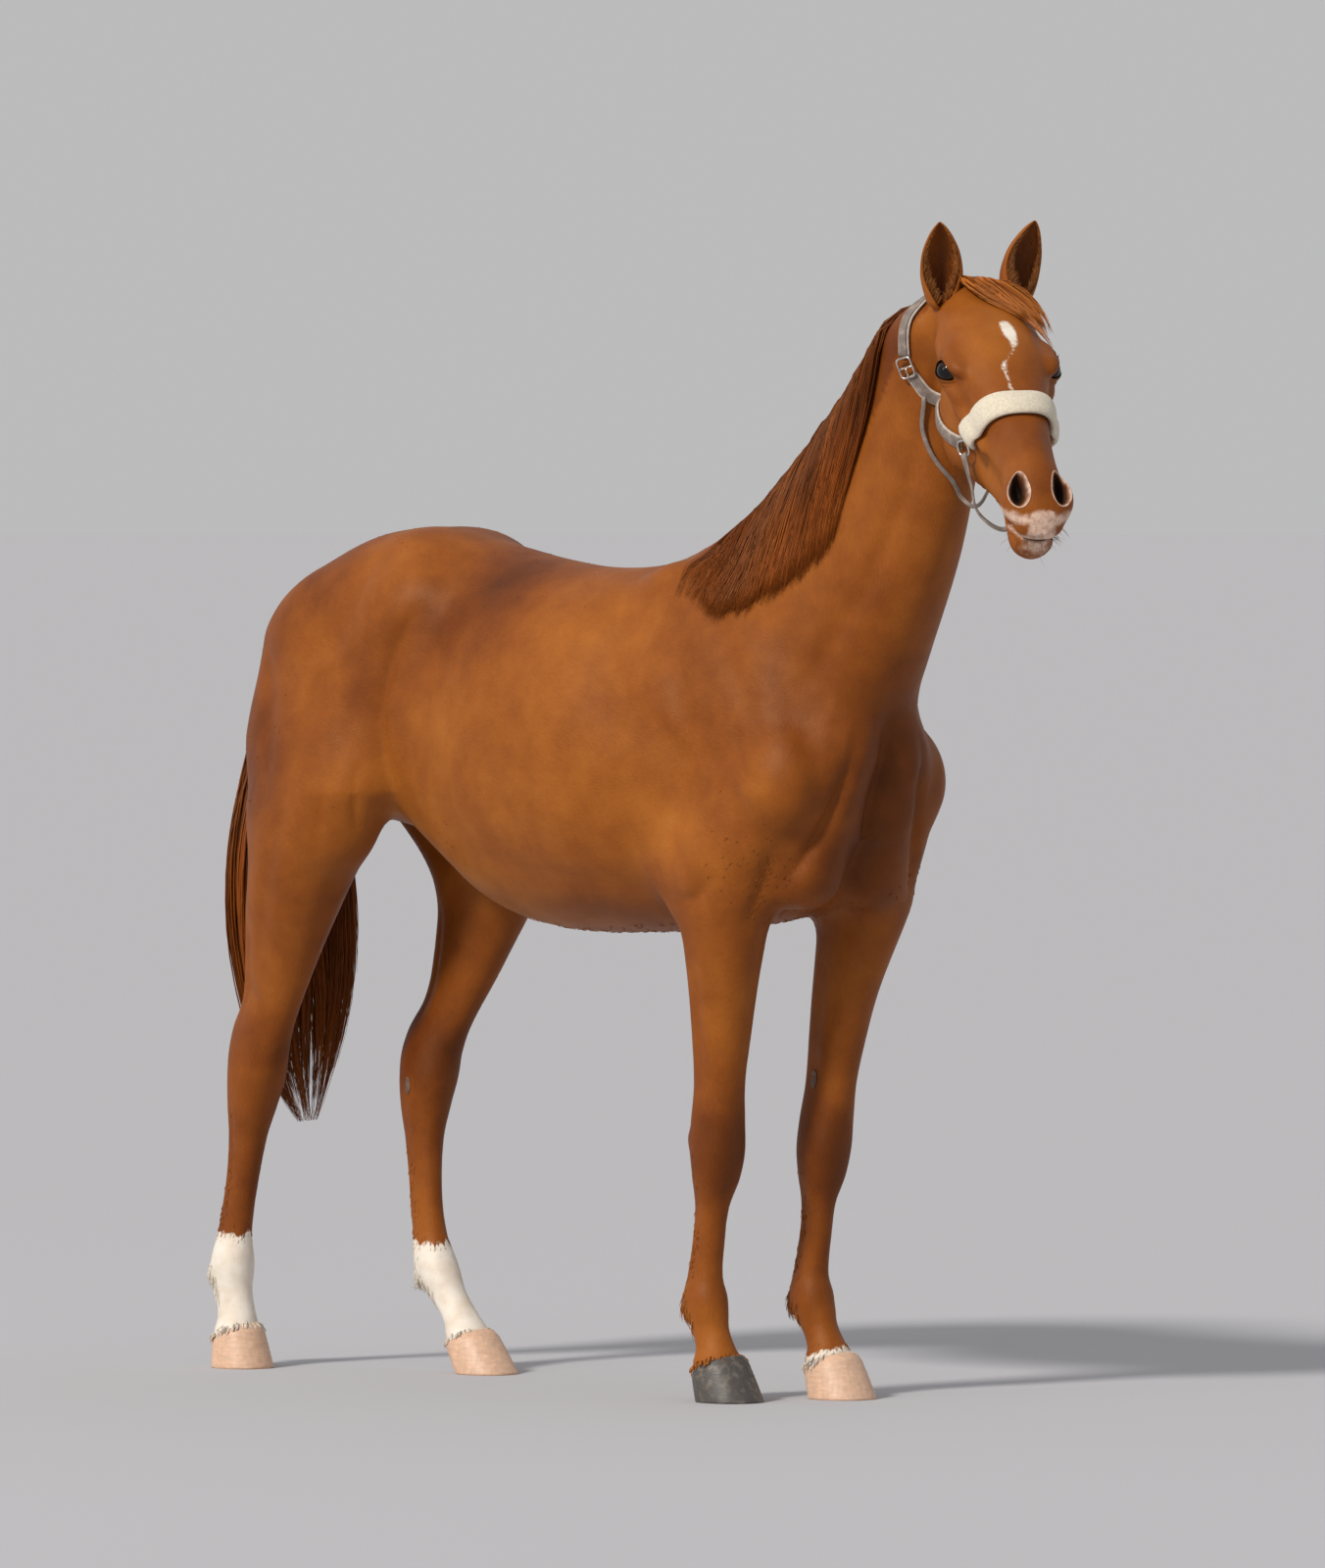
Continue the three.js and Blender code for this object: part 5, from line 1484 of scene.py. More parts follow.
def lock_paths(random, rows, across, hairs, points, start=(0, 0.1), end=(0.8, 1.0), hollow=0.3, strands=40):
    """Hairs inside the outline of a lock, gathered in strands: rows of [x, y, z, half width, half depth]."""
    rows = np.array(rows, float)
    steps = np.r_[0, np.cumsum(np.linalg.norm(np.diff(rows[:, :3], axis=0), axis=1))]
    at = curve(np.column_stack([steps / steps[-1], rows]))
    strand = random.integers(0, strands, hairs)
    begin = random.uniform(*start, hairs)
    finish = random.uniform(*end, strands)[strand] * random.uniform(0.86, 1.0, hairs)
    t = begin[:, None] + (finish - begin)[:, None] * np.linspace(0, 1, points)[None]
    values = at(np.clip(t, 0, 1).ravel()).reshape(hairs, points, 5)
    ahead = at(np.clip(t + 0.01, 0, 1).ravel()).reshape(hairs, points, 5)
    behind = at(np.clip(t - 0.01, 0, 1).ravel()).reshape(hairs, points, 5)
    along = unit(ahead[..., :3] - behind[..., :3])
    wide = unit(across - along * (along @ across)[..., None])
    deep = np.cross(along, wide)
    grow = np.linspace(0, 1, points)[None]
    angle = random.uniform(0, 2 * math.pi, strands)
    radius = np.sqrt(random.uniform(hollow**2, 1, strands))
    gather = 1 - 0.5 * grow**1.5
    spot = np.stack([np.cos(angle), np.sin(angle)], 1) * radius[:, None]
    own = random.normal(0, 0.5 / math.sqrt(strands) + 0.05, (hairs, 2))
    flat = spot[strand][:, None] + own[:, None] * gather[..., None]
    wave = random.uniform(2, 5, strands)[strand][:, None], random.uniform(0, 6.3, strands)[strand][:, None]
    wander = 0.16 * np.sin(grow * wave[0] + wave[1]) * grow
    turn = np.arctan2(flat[..., 1], flat[..., 0]) + wander
    size = np.minimum(np.hypot(flat[..., 0], flat[..., 1]), 1.08) * (0.6 + 0.37 * np.minimum(1, grow * 3))
    return (
        values[..., :3]
        + wide * (np.cos(turn) * size * values[..., 3])[..., None]
        + deep * (np.sin(turn) * size * values[..., 4])[..., None]
    )


TAIL = [
    [-895, 0, 1390, 32, 24], [-946, 0, 1390, 44, 36], [-988, 0, 1358, 50, 44],
    [-1006, 0, 1290, 58, 48], [-1010, -4, 1190, 80, 52], [-1008, -10, 1070, 112, 58],
    [-1002, -14, 950, 138, 62], [-994, -14, 820, 146, 62], [-986, -12, 700, 132, 58],
    [-982, -8, 600, 104, 48], [-976, -2, 520, 62, 34], [-972, 4, 460, 24, 16],
]
# Locks of the forelock as rows of [s, n, v, half width, half depth] in the head's directions.
FORELOCK = [
    [
        [-12, -6, -18, 26, 7], [16, 14, -14, 31, 8], [46, 22, -2, 30, 8], [84, 25, 20, 26, 7],
        [118, 26, 40, 16, 5], [150, 24, 56, 7, 4],
    ],
    [
        [-12, -6, 10, 24, 8], [18, 14, 14, 31, 9], [60, 22, 30, 32, 9], [104, 25, 52, 28, 8],
        [146, 21, 72, 18, 6], [184, 12, 86, 10, 5], [212, 1, 94, 4, 3],
    ],
    [
        [-10, -8, 24, 16, 7], [20, 9, 36, 20, 8], [58, 15, 54, 20, 8], [98, 13, 70, 16, 7],
        [138, 7, 84, 9, 5], [166, -1, 90, 3, 3],
    ],
]


def hair_material(name, base):
    """Long hair: single hairs differ, some are darker in patches, and the tips are sun-bleached."""
    n = Nodes(name)
    base = np.array(base)
    tones = [(0.0, base * [0.28, 0.22, 0.22]), (0.4, base * 0.9)]
    tones += [(0.75, base * [1.6, 1.6, 1.4]), (1.0, base * [2.6, 3, 2.6])]
    colour = n.ramp(n.attribute("tone"), tones)
    shade = n.between(n.noise(9, 3, (1, 1, 0.4)), 0.4, 0.66)
    colour = n.mix(shade, n.mix(0.45, colour, base * 0.3), colour)
    bleached = n.times(n.between(n.attribute("along"), 0.45, 1.0), 0.45)
    return n.surface({
        "Base Color": n.mix(bleached, colour, base * [2.2, 2.4, 2.2]),
        "Roughness": 0.42,
        "Specular IOR Level": 0.3,
        "Specular Tint": (1.0, 0.6, 0.38),
    })


# ------------------------------------------------------------------ tufts
LOOKS = ("white", "pale", "dark", "shade", "upright")


def read_skin():
    """The finished skin's points in millimetres, which way they face, and how the coat looks there."""
    skin = bpy.data.objects.get("skin")
    if skin is None:
        raise RuntimeError("The skin has to be built before its tufts")
    mesh = skin.data
    count = len(mesh.vertices)
    points, facing = np.empty(count * 3, np.float32), np.empty(count * 3, np.float32)
    mesh.vertices.foreach_get("co", points)
    mesh.vertices.foreach_get("normal", facing)
    looks = {}
    for name in LOOKS:
        looks[name] = np.empty(count, np.float32)
        mesh.attributes[name].data.foreach_get("value", looks[name])
    return points.reshape(-1, 3) * 1000.0 - STAND, facing.reshape(-1, 3).astype(float), looks


def lie_of_coat(p):
    """The direction the short hair lies in, down and back over the body and down the face."""
    x, y, z = p.T
    s = in_head(x, y, z)[0]
    lie = np.tile([-0.8, 0.0, -0.55], (len(p), 1))
    lie[z < 880] = [-0.12, 0, -1]
    lie[(x > 560) & (z > 1100)] = [-0.35, 0, -0.9]
    lie[(x > 760) & (z > 1440) & (s > -10)] = unit(on_head(1, 0.1, 0) - POLL)
    return lie


def leg_places(p):
    """For points of the legs: millimetres behind the leg's middle line, and above the hoof's upper edge."""
    x, y, z = p.T
    behind, above = np.full(len(p), -99.0), np.full(len(p), 999.0)
    for leg in LEGS.values():
        ax, ay = leg_axis(leg)(z).T
        mine = (np.hypot(x - ax, y - ay) < 110) & (z < 640)
        behind = np.where(mine, ax - x, behind)
        above = np.where(mine, above_hoof(leg, x, z), above)
    return behind, above


def bump_at(p, place, radius):
    """A soft spot of weight round a place and its mirror image."""
    places = [np.array(place) * [1, k, 1] for k in (1, -1)]
    return sum(np.exp(-((np.linalg.norm(p - each, axis=1) / radius) ** 2)) for each in places)


def tuft_kinds(p, facing, looks):
    """Weight over the skin, number of tufts, length, width, rise and looseness of each kind."""
    x, y, z = p.T
    s, n, _ = in_head(x, y, z)
    is_face = (x > 760) & (z > 1440) & (s > 20) & (n < 60)
    is_head = is_face & ~near_eye(p)
    behind, above = leg_places(p)
    is_leg = (z < 620) & (above > 6)
    back = np.clip(behind / 14, 0, 1) ** 2
    chin_way = -facing @ unit(on_head(0, 1, 0) - POLL)
    under = np.clip(-facing[:, 2] - 0.6, 0, 1)
    top = np.clip(facing[:, 2] - 0.55, 0, 1) + np.clip(-facing[:, 0] - 0.6, 0, 1)
    bare = looks["pale"] + looks["dark"]
    trunk = (z > 640) & (z < 1880) & ~is_face
    throat = np.clip(facing[:, 0] - 0.4, 0, 1) * (x > 760) * (z > 1380) * (z < 1850) * (s < 20)
    return {
        "leg_tufts": [
            (back * is_leg * np.exp(-(((z - 158) / 24) ** 2)), 480, 25, 0.7, 0.12, 1.0),
            (back * is_leg * np.exp(-(((z - 290) / 90) ** 2)), 420, 11, 0.6, 0.14, 0.7),
            (is_leg * np.exp(-((looks["white"] / 6) ** 2)), 620, 9, 0.6, 0.07, 0.5),
        ],
        "coronet_tufts": [(np.exp(-(((above - 6) / 4) ** 2)), 760, 15, 0.8, 0.55, 0.6)],
        "body_tufts": [
            (under * trunk * (np.abs(y) < 90) * (x > -420) * (x < 480), 420, 14, 0.7, 0.12, 0.8),
            (bump_at(p, (430, -150, 965), 55), 150, 12, 0.6, 0.1, 0.8),
            (bump_at(p, (-400, -190, 960), 50), 110, 10, 0.6, 0.08, 0.8),
            (bump_at(p, (-860, -90, 1100), 130), 200, 9, 0.6, 0.08, 0.7),
            (trunk * top, 420, 9, 0.5, 0.07, 0.6),
        ],
        "head_tufts": [
            (is_head * np.clip(chin_way - 0.4, 0, 1) * (s < 480) * (bare < 0.3), 420, 9, 0.5, 0.1, 0.7),
            (throat, 160, 9, 0.5, 0.08, 0.7),
        ],
    }


def tuft_paths(random, p, facing, kinds, hairs_each=4, points=5):
    """Small locks rooted in the skin, drawn together at their tips: paths, widths and root numbers."""
    grow = np.linspace(0, 1, points)[None, :, None]
    paths, widths, roots = [], [], []
    for weight, tufts, long, width, rise, loose in kinds:
        root = random.choice(len(p), tufts, p=weight / weight.sum())
        way = lie_of_coat(p[root]) + random.normal(0, 0.16 * loose, (tufts, 3))
        up = facing[root]
        way = unit(way - up * (way * up).sum(1)[:, None])
        side = np.cross(way, up)
        way, up, side = (np.repeat(d, hairs_each, 0)[:, None] for d in (way, up, side))
        count = tufts * hairs_each
        size = (long * random.uniform(0.55, 1.1, tufts)).repeat(hairs_each) * random.uniform(0.8, 1, count)
        spread = random.normal(0, 1.5, (count, 2))[:, None]
        shrink = 1 - 0.8 * grow
        across = side * spread[..., :1] + way * spread[..., 1:]
        path = np.repeat(p[root], hairs_each, 0)[:, None] + across * shrink
        size = size[:, None, None]
        path = path + way * size * grow + up * (size * rise * np.sin(grow * 2.2) - 0.6 * (1 - grow))
        paths.append(path)
        widths.append(np.full(count, width) * random.uniform(0.7, 1.3, count))
        roots.append(np.repeat(root, hairs_each))
    return np.concatenate(paths), np.concatenate(widths), np.concatenate(roots)


def whisker_paths(random, p, facing, count, points=5):
    """Single stiff hairs on the chin, the lips and under the eyes."""
    s, n, _ = in_head(*p.T)
    chin = (s > 520) & (n < -132)
    lip = (s > 556) & (n < -96) & (n > -126)
    below_eye = (np.abs(s - 205) < 30) & (np.abs(n + 84) < 8)
    weight = (chin + 0.7 * lip + 0.25 * below_eye) * (p[:, 0] > 900) * (p[:, 2] > 1300)
    root = random.choice(len(p), count, p=weight / weight.sum())
    face = unit(on_head(1, -0.5, 0) - POLL)
    way = unit(facing[root] + face * 0.5 + random.normal(0, 0.15, (count, 3)))
    grow = np.linspace(0, 1, points)[None, :, None]
    long = np.minimum(random.uniform(10, 26, count), (1255 - p[root, 0]) / np.maximum(way[:, 0], 0.05))
    long = np.maximum(long, 3)[:, None, None]
    return p[root][:, None] + way[:, None] * long * grow - np.array([0, 0, 0.15]) * long * grow**2


def ear_hairs(random, side, hairs, points=6):
    """Long soft hair across the ear's opening and a short fringe up its edges."""
    root, up, front, across = ear_frame(side)
    t = random.beta(1.1, 1.4, hairs) * 0.96
    width, depth = ear_shape(t).T
    edge = random.choice([-1.0, 1.0], hairs)
    inward = random.exponential(0.3, hairs) * (random.random(hairs) < 0.7)
    turn = edge * (np.radians(ear_opening(t)[:, 0]) + inward)
    start = root + up * (t * EAR_LENGTH)[:, None] - front * (8 * np.sin(math.pi * t))[:, None]
    wide, deep = np.sin(turn) * (width - 3.4), np.cos(turn) * (depth - 3.4)
    start += across * wide[:, None] + front * deep[:, None]
    long = np.interp(t, [0, 0.3, 0.7, 1], [24, 24, 15, 6]) * random.uniform(0.5, 1, hairs)
    lean = up * random.uniform(0.7, 1.1, hairs)[:, None] + front * random.uniform(0.1, 0.5, hairs)[:, None]
    lean -= across * (edge * random.uniform(0.1, 0.75, hairs))[:, None]
    grow = np.linspace(0, 1, points)[None, :, None]
    long = long[:, None, None]
    return start[:, None] + unit(lean)[:, None] * long * grow - front * long * 0.18 * grow**2


def lash_paths(random, side, hairs, points=6):
    """Lashes along the upper lid, out and curving up."""
    centre, out, along, over = eye_frame(side)
    angle = np.linspace(0.12, 0.86, hairs) * math.pi + random.normal(0, 0.02, hairs)
    reach = eye_edge(angle) * 0.99
    a, b = reach * np.cos(angle), reach * np.sin(angle)
    high = np.sqrt(np.maximum((EYE_RADIUS + 2.6) ** 2 - a * a - b * b, 4))
    start = centre + along * a[:, None] + over * b[:, None] + out * high[:, None]
    grow = np.linspace(0, 1, points)[None, :, None]
    long = random.uniform(6, 9, hairs)[:, None, None]
    fan = unit(start - centre)[:, None]
    return start[:, None] + (fan * 0.75 + out * 0.45) * long * grow + over * long * 0.35 * grow**2


# ------------------------------------------------------------------ headcollar
BUCKLE = [-4, -150, -90]
CROWN = [BUCKLE, [-14, -106, -92], [-26, -60, -86], [-38, -18, -62], [-42, 2, -30], [-43, 4, 0]]
CHEEK = [[20, -174, -90], [62, -190, -86], [126, -192, -80], [194, -178, -73], [250, -158, -60]]
TAB = [[286, -142, -58], [300, -118, -62], [312, -98, -64]]
SLEEVE = [[316, -92, -64], [330, -55, -62], [344, -15, -46], [352, 2, -18], [353, 4, 0]]
CHIN = [[272, -166, -62], [310, -200, -52], [342, -240, -40], [366, -258, 0]]
THROAT = [[58, -198, -82], [70, -262, -72], [112, -322, -48], [178, -350, 0]]
RING = [268, -158, -62]


def mirrored(points):
    return points + [[s, n, -v] for s, n, v in points[-2::-1]]


def on_side(points, side):
    return [[s, n, -side * v] for s, n, v in points]


def strap_mesh(points, profile, count, hug=True, clear=5.0, base=0.6, tuck=10.0):
    """Sweeps a section of (across, up) pairs along a strap that hugs the flesh or hangs clear of it."""
    route = np.array([on_head(*p) for p in points])
    if not hug:
        route[[0, -1]] = settle(route[[0, -1]], tuck, 6)
    line = spline(route, count)
    depth = flesh(*line.T)
    if hug:
        line = settle(line, base, 6)
        for _ in range(6):
            line[1:-1] = (line[:-2] + line[1:-1] * 2 + line[2:]) / 4
        line = settle(line, base, 6)
    else:
        low = depth < clear
        if low.any():
            line[low] = settle(line[low], clear, 6)
    along = unit(np.gradient(line, axis=0))
    out = outward(line)
    out = unit(out - along * (out * along).sum(1)[:, None])
    for _ in range(3):
        out[1:-1] = unit(out[:-2] + out[1:-1] * 2 + out[2:])
    side = np.cross(out, along)
    profile = np.array(profile, float)
    verts = line[:, None] + profile[None, :, :1] * side[:, None] + profile[None, :, 1:] * out[:, None]
    return verts.reshape(-1, 3), capped_faces(count, len(profile))


def strap_profile(width, low, high, round_=1.2):
    """A flat section with rounded edges, from a low level to a high one."""
    half, middle = width / 2, (low + high) / 2
    rise = (high - low) / 2
    turn = np.linspace(-math.pi / 2, math.pi / 2, 5)
    right = [(half - round_ + round_ * math.cos(a), middle + rise * math.sin(a)) for a in turn]
    left = [(-x, y) for x, y in right[::-1]]
    return right + left


def merge(parts):
    """Joins closed parts into one mesh, each with its faces turned outwards."""
    verts, faces, first = [], [], 0
    for points, polygons in parts:
        points = np.asarray(points, float)
        fans = np.array([(f[0], f[i], f[i + 1]) for f in polygons for i in range(1, len(f) - 1)])
        a, b, c = (points[fans[:, k]] - points.mean(0) for k in range(3))
        step = -1 if (np.cross(a, b) * c).sum() < 0 else 1
        faces += [[first + i for i in face][::step] for face in polygons]
        verts.append(points)
        first += len(points)
    return np.concatenate(verts), faces


def fitting_frame(place, towards, lift):
    """The middle of a metal fitting over the skin, with its directions out, along and across."""
    centre = settle(on_head(*place)[None], lift, 6)[0]
    out = outward(centre[None])[0]
    along = unit(on_head(*towards) - on_head(*place))
    along = unit(along - out * (along @ out))
    return centre, out, along, np.cross(out, along)


def ring_mesh(place, towards, radii, wire, lift, square=2.0, segments=40):
    """A metal ring or rounded rectangle of wire lying against the strap."""
    centre, out, along, side = fitting_frame(place, towards, lift)
    turn = circle(segments)
    c, d = np.cos(turn), np.sin(turn)
    size = 1 / (np.abs(c) ** square + np.abs(d) ** square) ** (1 / square)
    line = centre + np.outer(c * size * radii[0], side) + np.outer(d * size * radii[1], along)
    way = unit(line - centre)
    cos, sin = np.cos(circle(8))[None, :, None], np.sin(circle(8))[None, :, None]
    verts = line[:, None] + wire * (cos * way[:, None] + sin * out)
    return verts.reshape(-1, 3), [face[::-1] for face in grid_faces(segments, 8, True)]


def bar_mesh(place, towards, a, b, wire, lift):
    """A round bar between two points given across and along a fitting."""
    centre, out, along, side = fitting_frame(place, towards, lift)
    ends = np.array([centre + side * p[0] + along * p[1] + out * p[2] for p in (a, b)])
    line = ends[0] + np.linspace(0, 1, 5)[:, None] * (ends[1] - ends[0])
    way = unit(ends[1] - ends[0])
    first = unit(np.cross(way, out + way * 0.3))
    second = np.cross(way, first)
    cos, sin = np.cos(circle(8))[None, :, None], np.sin(circle(8))[None, :, None]
    verts = line[:, None] + wire * (cos * first + sin * second)
    return verts.reshape(-1, 3), capped_faces(5, 8)


def leather_material(settings):
    n = Nodes("worn_leather")
    base = np.array(settings.leather_colour)
    worn = [(0.3, base * 0.65), (0.55, base), (0.75, np.minimum(base * 1.7, 1))]
    return n.surface({
        "Base Color": n.ramp(n.noise(60, 4), worn),
        "Roughness": 0.62,
        "Normal": n.bump(n.noise(900, 3), 0.0004, 0.6),
    })


def padding_material(settings):
    n = Nodes("pale_padding")
    base = np.array(settings.padding_colour)
    return n.surface({
        "Base Color": n.ramp(n.noise(120, 4), [(0.3, base * 0.7), (0.6, base), (0.8, base * 1.1)]),
        "Roughness": 0.85,
        "Normal": n.bump(n.noise(1500, 2), 0.0005, 0.7),
    })


def fleece_material(settings):
    n = Nodes("fleece")
    base = np.array(settings.fleece_colour)
    wool = [(0.3, base * [0.8, 0.76, 0.68]), (0.55, base), (0.8, np.minimum(base * 1.15, 1))]
    return n.surface({
        "Base Color": n.ramp(n.noise(220, 5, roughness=0.7), wool),
        "Roughness": 0.95,
        "Sheen Weight": 0.3,
        "Normal": n.bump(n.noise(520, 4, roughness=0.7), 0.002, 0.8),
    })


def metal_material():
    n = Nodes("plated_metal")
    return n.surface({
        "Base Color": n.ramp(n.noise(90, 4), [(0.3, (0.42, 0.38, 0.33)), (0.6, (0.72, 0.7, 0.66))]),
        "Metallic": 1.0,
        "Roughness": n.ramp(n.noise(140, 3), [(0.3, (0.22,) * 3), (0.7, (0.42,) * 3)]),
    })


def eye_material(settings):
    n = Nodes("dark_brown_eye")
    base = np.array(settings.eye_colour)
    iris = n.ramp(n.noise(500, 3), [(0.3, base * 0.5), (0.7, base * 1.6)])
    pupil = n.between(n.attribute("pupil"), 0.4, 0.6)
    return n.surface({
        "Base Color": n.mix(pupil, (0.002, 0.0015, 0.0015), iris),
        "Roughness": 0.05,
        "Specular IOR Level": 0.32,
    })


def horn_material(name, base):
    """Horn with faint growth rings and upright streaks, scuffed and dusty in patches."""
    n = Nodes(name)
    base = np.array(base)
    rings = [(0.3, base * 0.86), (0.55, base), (0.75, np.minimum(base * 1.12, 1))]
    low = n.ramp(n.noise(60, 4, (1, 1, 3.2)), rings)
    streaks = n.between(n.noise(150, 3, (1, 1, 0.08)), 0.35, 0.75)
    worn = n.mix(n.times(streaks, 0.5), low, base * 0.72)
    dust = n.between(n.noise(70, 5), 0.45, 0.75)
    return n.surface({
        "Base Color": n.mix(n.times(dust, 0.25), worn, (0.4, 0.33, 0.26)),
        "Roughness": 0.5,
        "Normal": n.bump(n.noise(90, 4, (1, 1, 5)), 0.0012, 0.4),
    })


# ------------------------------------------------------------------ sizes and colours
def colour(name, description, default):
    return bpy.props.FloatVectorProperty(
        name=name, description=description, subtype="COLOR", size=3, min=0, max=1, default=default
    )


def length(name, description, default):
    return bpy.props.FloatProperty(
        name=name, description=description, default=default, min=0.0001, precision=4, unit="LENGTH"
    )


class HorseSettings(bpy.types.PropertyGroup):
    """Sizes and colours of the horse and its headcollar."""

    body_mesh: length("Body mesh", "Spacing of the skin's mesh on the body", 0.0116)
    head_mesh: length("Head mesh", "Spacing of the skin's mesh on the head", 0.0066)
    coat_colour: colour("Coat", "Main colour of the short coat", (0.24, 0.062, 0.006))
    white_colour: colour("White hair", "Colour of the white markings", (0.8, 0.74, 0.66))
    muzzle_colour: colour("Bare muzzle", "Colour of the bare skin of the nose and lips", (0.78, 0.56, 0.44))
    hair_colour: colour("Long hair", "Main colour of the mane and tail", (0.145, 0.034, 0.005))
    ear_hair_colour: colour("Ear hair", "Colour of the hair inside the ears", (0.24, 0.085, 0.026))
    lash_colour: colour("Lashes", "Colour of the lashes", (0.04, 0.014, 0.006))
    forelock_colour: colour("Forelock", "Main colour of the forelock", (0.3, 0.09, 0.018))
    eye_colour: colour("Eye", "Colour of the iris", (0.02, 0.008, 0.004))
    dark_hoof: colour("Dark hoof", "Colour of the dark horn", (0.075, 0.065, 0.06))
    pale_hoof: colour("Pale hoof", "Colour of the pale horn", (0.7, 0.45, 0.31))
    callus_colour: colour("Callus", "Colour of the horny patches inside the legs", (0.13, 0.07, 0.045))
    leather_colour: colour("Leather", "Colour of the headcollar's leather", (0.22, 0.175, 0.15))
    padding_colour: colour("Padding", "Colour of the straps' padded edges", (0.5, 0.45, 0.4))
    fleece_colour: colour("Fleece", "Colour of the noseband's fleece", (0.74, 0.66, 0.53))
    hair_width: length("Hair width", "Width of one strand of long hair", 0.0026)
    floor_colour: colour("Floor", "Colour of the studio floor", (0.488, 0.49, 0.522))


# ------------------------------------------------------------------ operators
FLESH_NODES = (
    "trunk", "neck", "head", "ear_right", "ear_left",
    "fore_leg_right", "fore_leg_left", "hind_leg_right", "hind_leg_left",
)


class HORSE_OT_skin(bpy.types.Operator):
    """One closed skin over the whole body."""

    bl_idname = "horse.skin"
    bl_label = "Skin"

    def execute(self, context):
        settings = context.scene.horse
        verts, faces, marks = skin_mesh(settings)
        looks = markings(verts, marks)
        ears = [ear_mesh(-1), ear_mesh(1)]
        verts, faces = merge([(verts, faces), *(ear[:2] for ear in ears)])
        skin = mesh_object("skin", to_metres(inside_box(verts, 0.2)), faces)
        for name, values in looks.items():
            put_attribute(skin, name, np.concatenate([values, *(ear[2][name] for ear in ears)]))
        skin.data.materials.append(coat_material(settings))
        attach(skin, "root")
        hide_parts(*FLESH_NODES)
        return {"FINISHED"}


def add_piece(name, parts, material, slot, nodes=(), smooth=True):
    """A piece from meshes in millimetres that rides on the horse and stands for CAD nodes."""
    verts, faces = merge(parts)
    made = mesh_object(name, to_metres(verts), faces, smooth)
    made.data.materials.append(material)
    return settle_piece(made, slot, nodes)


def settle_piece(made, slot, nodes=()):
    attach(made, "root")
    if nodes:
        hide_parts(*nodes)
    return made


def add_hair(name, paths, widths, side, material, slot, nodes=(), tones=None):
    """A piece of single hairs that rides on the horse and stands for CAD nodes."""
    made = hair_mesh(name, paths, widths, np.array(side), tones)
    made.data.materials.append(material)
    return settle_piece(made, slot, nodes)


SIDES = ((-1, "right"), (1, "left"))


class HORSE_OT_eyes(bpy.types.Operator):
    """Two dark eyes under the lids."""

    bl_idname = "horse.eyes"
    bl_label = "Eyes"

    def execute(self, context):
        material = eye_material(context.scene.horse)
        for side, label in SIDES:
            verts, faces = eyeball_mesh(side)
            made = add_piece(f"eye_{label}_globe", [(verts, faces)], material, "eye", [f"eye_{label}"])
            centre, _, along, over = eye_frame(side)
            local = (verts - centre) / EYE_RADIUS
            put_attribute(made, "pupil", np.hypot(local @ along * 0.8, local @ over * 1.5))
        return {"FINISHED"}


class HORSE_OT_hooves(bpy.types.Operator):
    """Four hooves, dark on the right fore and pale on the others."""

    bl_idname = "horse.hooves"
    bl_label = "Hooves"

    def execute(self, context):
        settings = context.scene.horse
        dark = horn_material("dark_horn", settings.dark_hoof)
        pale = horn_material("pale_horn", settings.pale_hoof)
        for name, leg in LEGS.items():
            material, slot = (dark, "dark_horn") if name == "fore_right" else (pale, "pale_horn")
            add_piece(f"horn_{name}", [hoof_mesh(leg)], material, slot, [f"hoof_{name}"])
        callus = horn_material("leg_callus", settings.callus_colour)
        add_piece("leg_chestnuts", [chestnut_mesh(leg) for leg in LEGS.values()], callus, "dark_horn")
        return {"FINISHED"}


class HORSE_OT_hair(bpy.types.Operator):
    """Mane, forelock and tail of separate hairs."""

    bl_idname = "horse.hair"
    bl_label = "Hair"

    def execute(self, context):
        settings = context.scene.horse
        material = hair_material("long_hair", settings.hair_colour)
        width = settings.hair_width * 1000
        random = np.random.default_rng(7)
        share = 1.0
        surface = NeckSurface()
        for layer in (0, 1):
            paths, widths, tones = mane_paths(random, surface, int((225, 200)[layer] * share), 16, layer)
            nodes = () if layer else ["mane"]
            way = (0.0, -1.0, 0.2)
            add_hair(f"mane_hair_{layer + 1}", paths, widths * width, way, material, "hair", nodes, tones)

        across = unit(on_head(40, 0, 100) - on_head(0, 0, 0))
        paths, hairs = [], int(540 * share)
        for lock in FORELOCK:
            rows = [[*on_head(s, n, v), wide, deep] for s, n, v, wide, deep in lock]
            paths.append(lock_paths(random, rows, across, hairs, 10, (0, 0.14), (0.55, 1.0), 0.3, 34))
        paths = np.concatenate(paths)
        widths = random.uniform(0.4, 0.8, len(paths)) * width
        pale = hair_material("forelock_hair", settings.forelock_colour)
        add_hair("forelock_hair", paths, widths, across, pale, "hair", ["forelock"])

        across = np.array([0.0, 1.0, 0.0])
        for k in range(2):
            paths = lock_paths(random, TAIL, across, int(2000 * share), 15, (0, 0.3), (0.66, 1.04), 0.5, 90)
            widths = random.uniform(0.7, 1.5, len(paths)) * width
            nodes = () if k else ["tail"]
            add_hair(f"tail_hair_{k + 1}", paths, widths, (1.0, 0.0, 0.0), material, "hair", nodes)
        return {"FINISHED"}


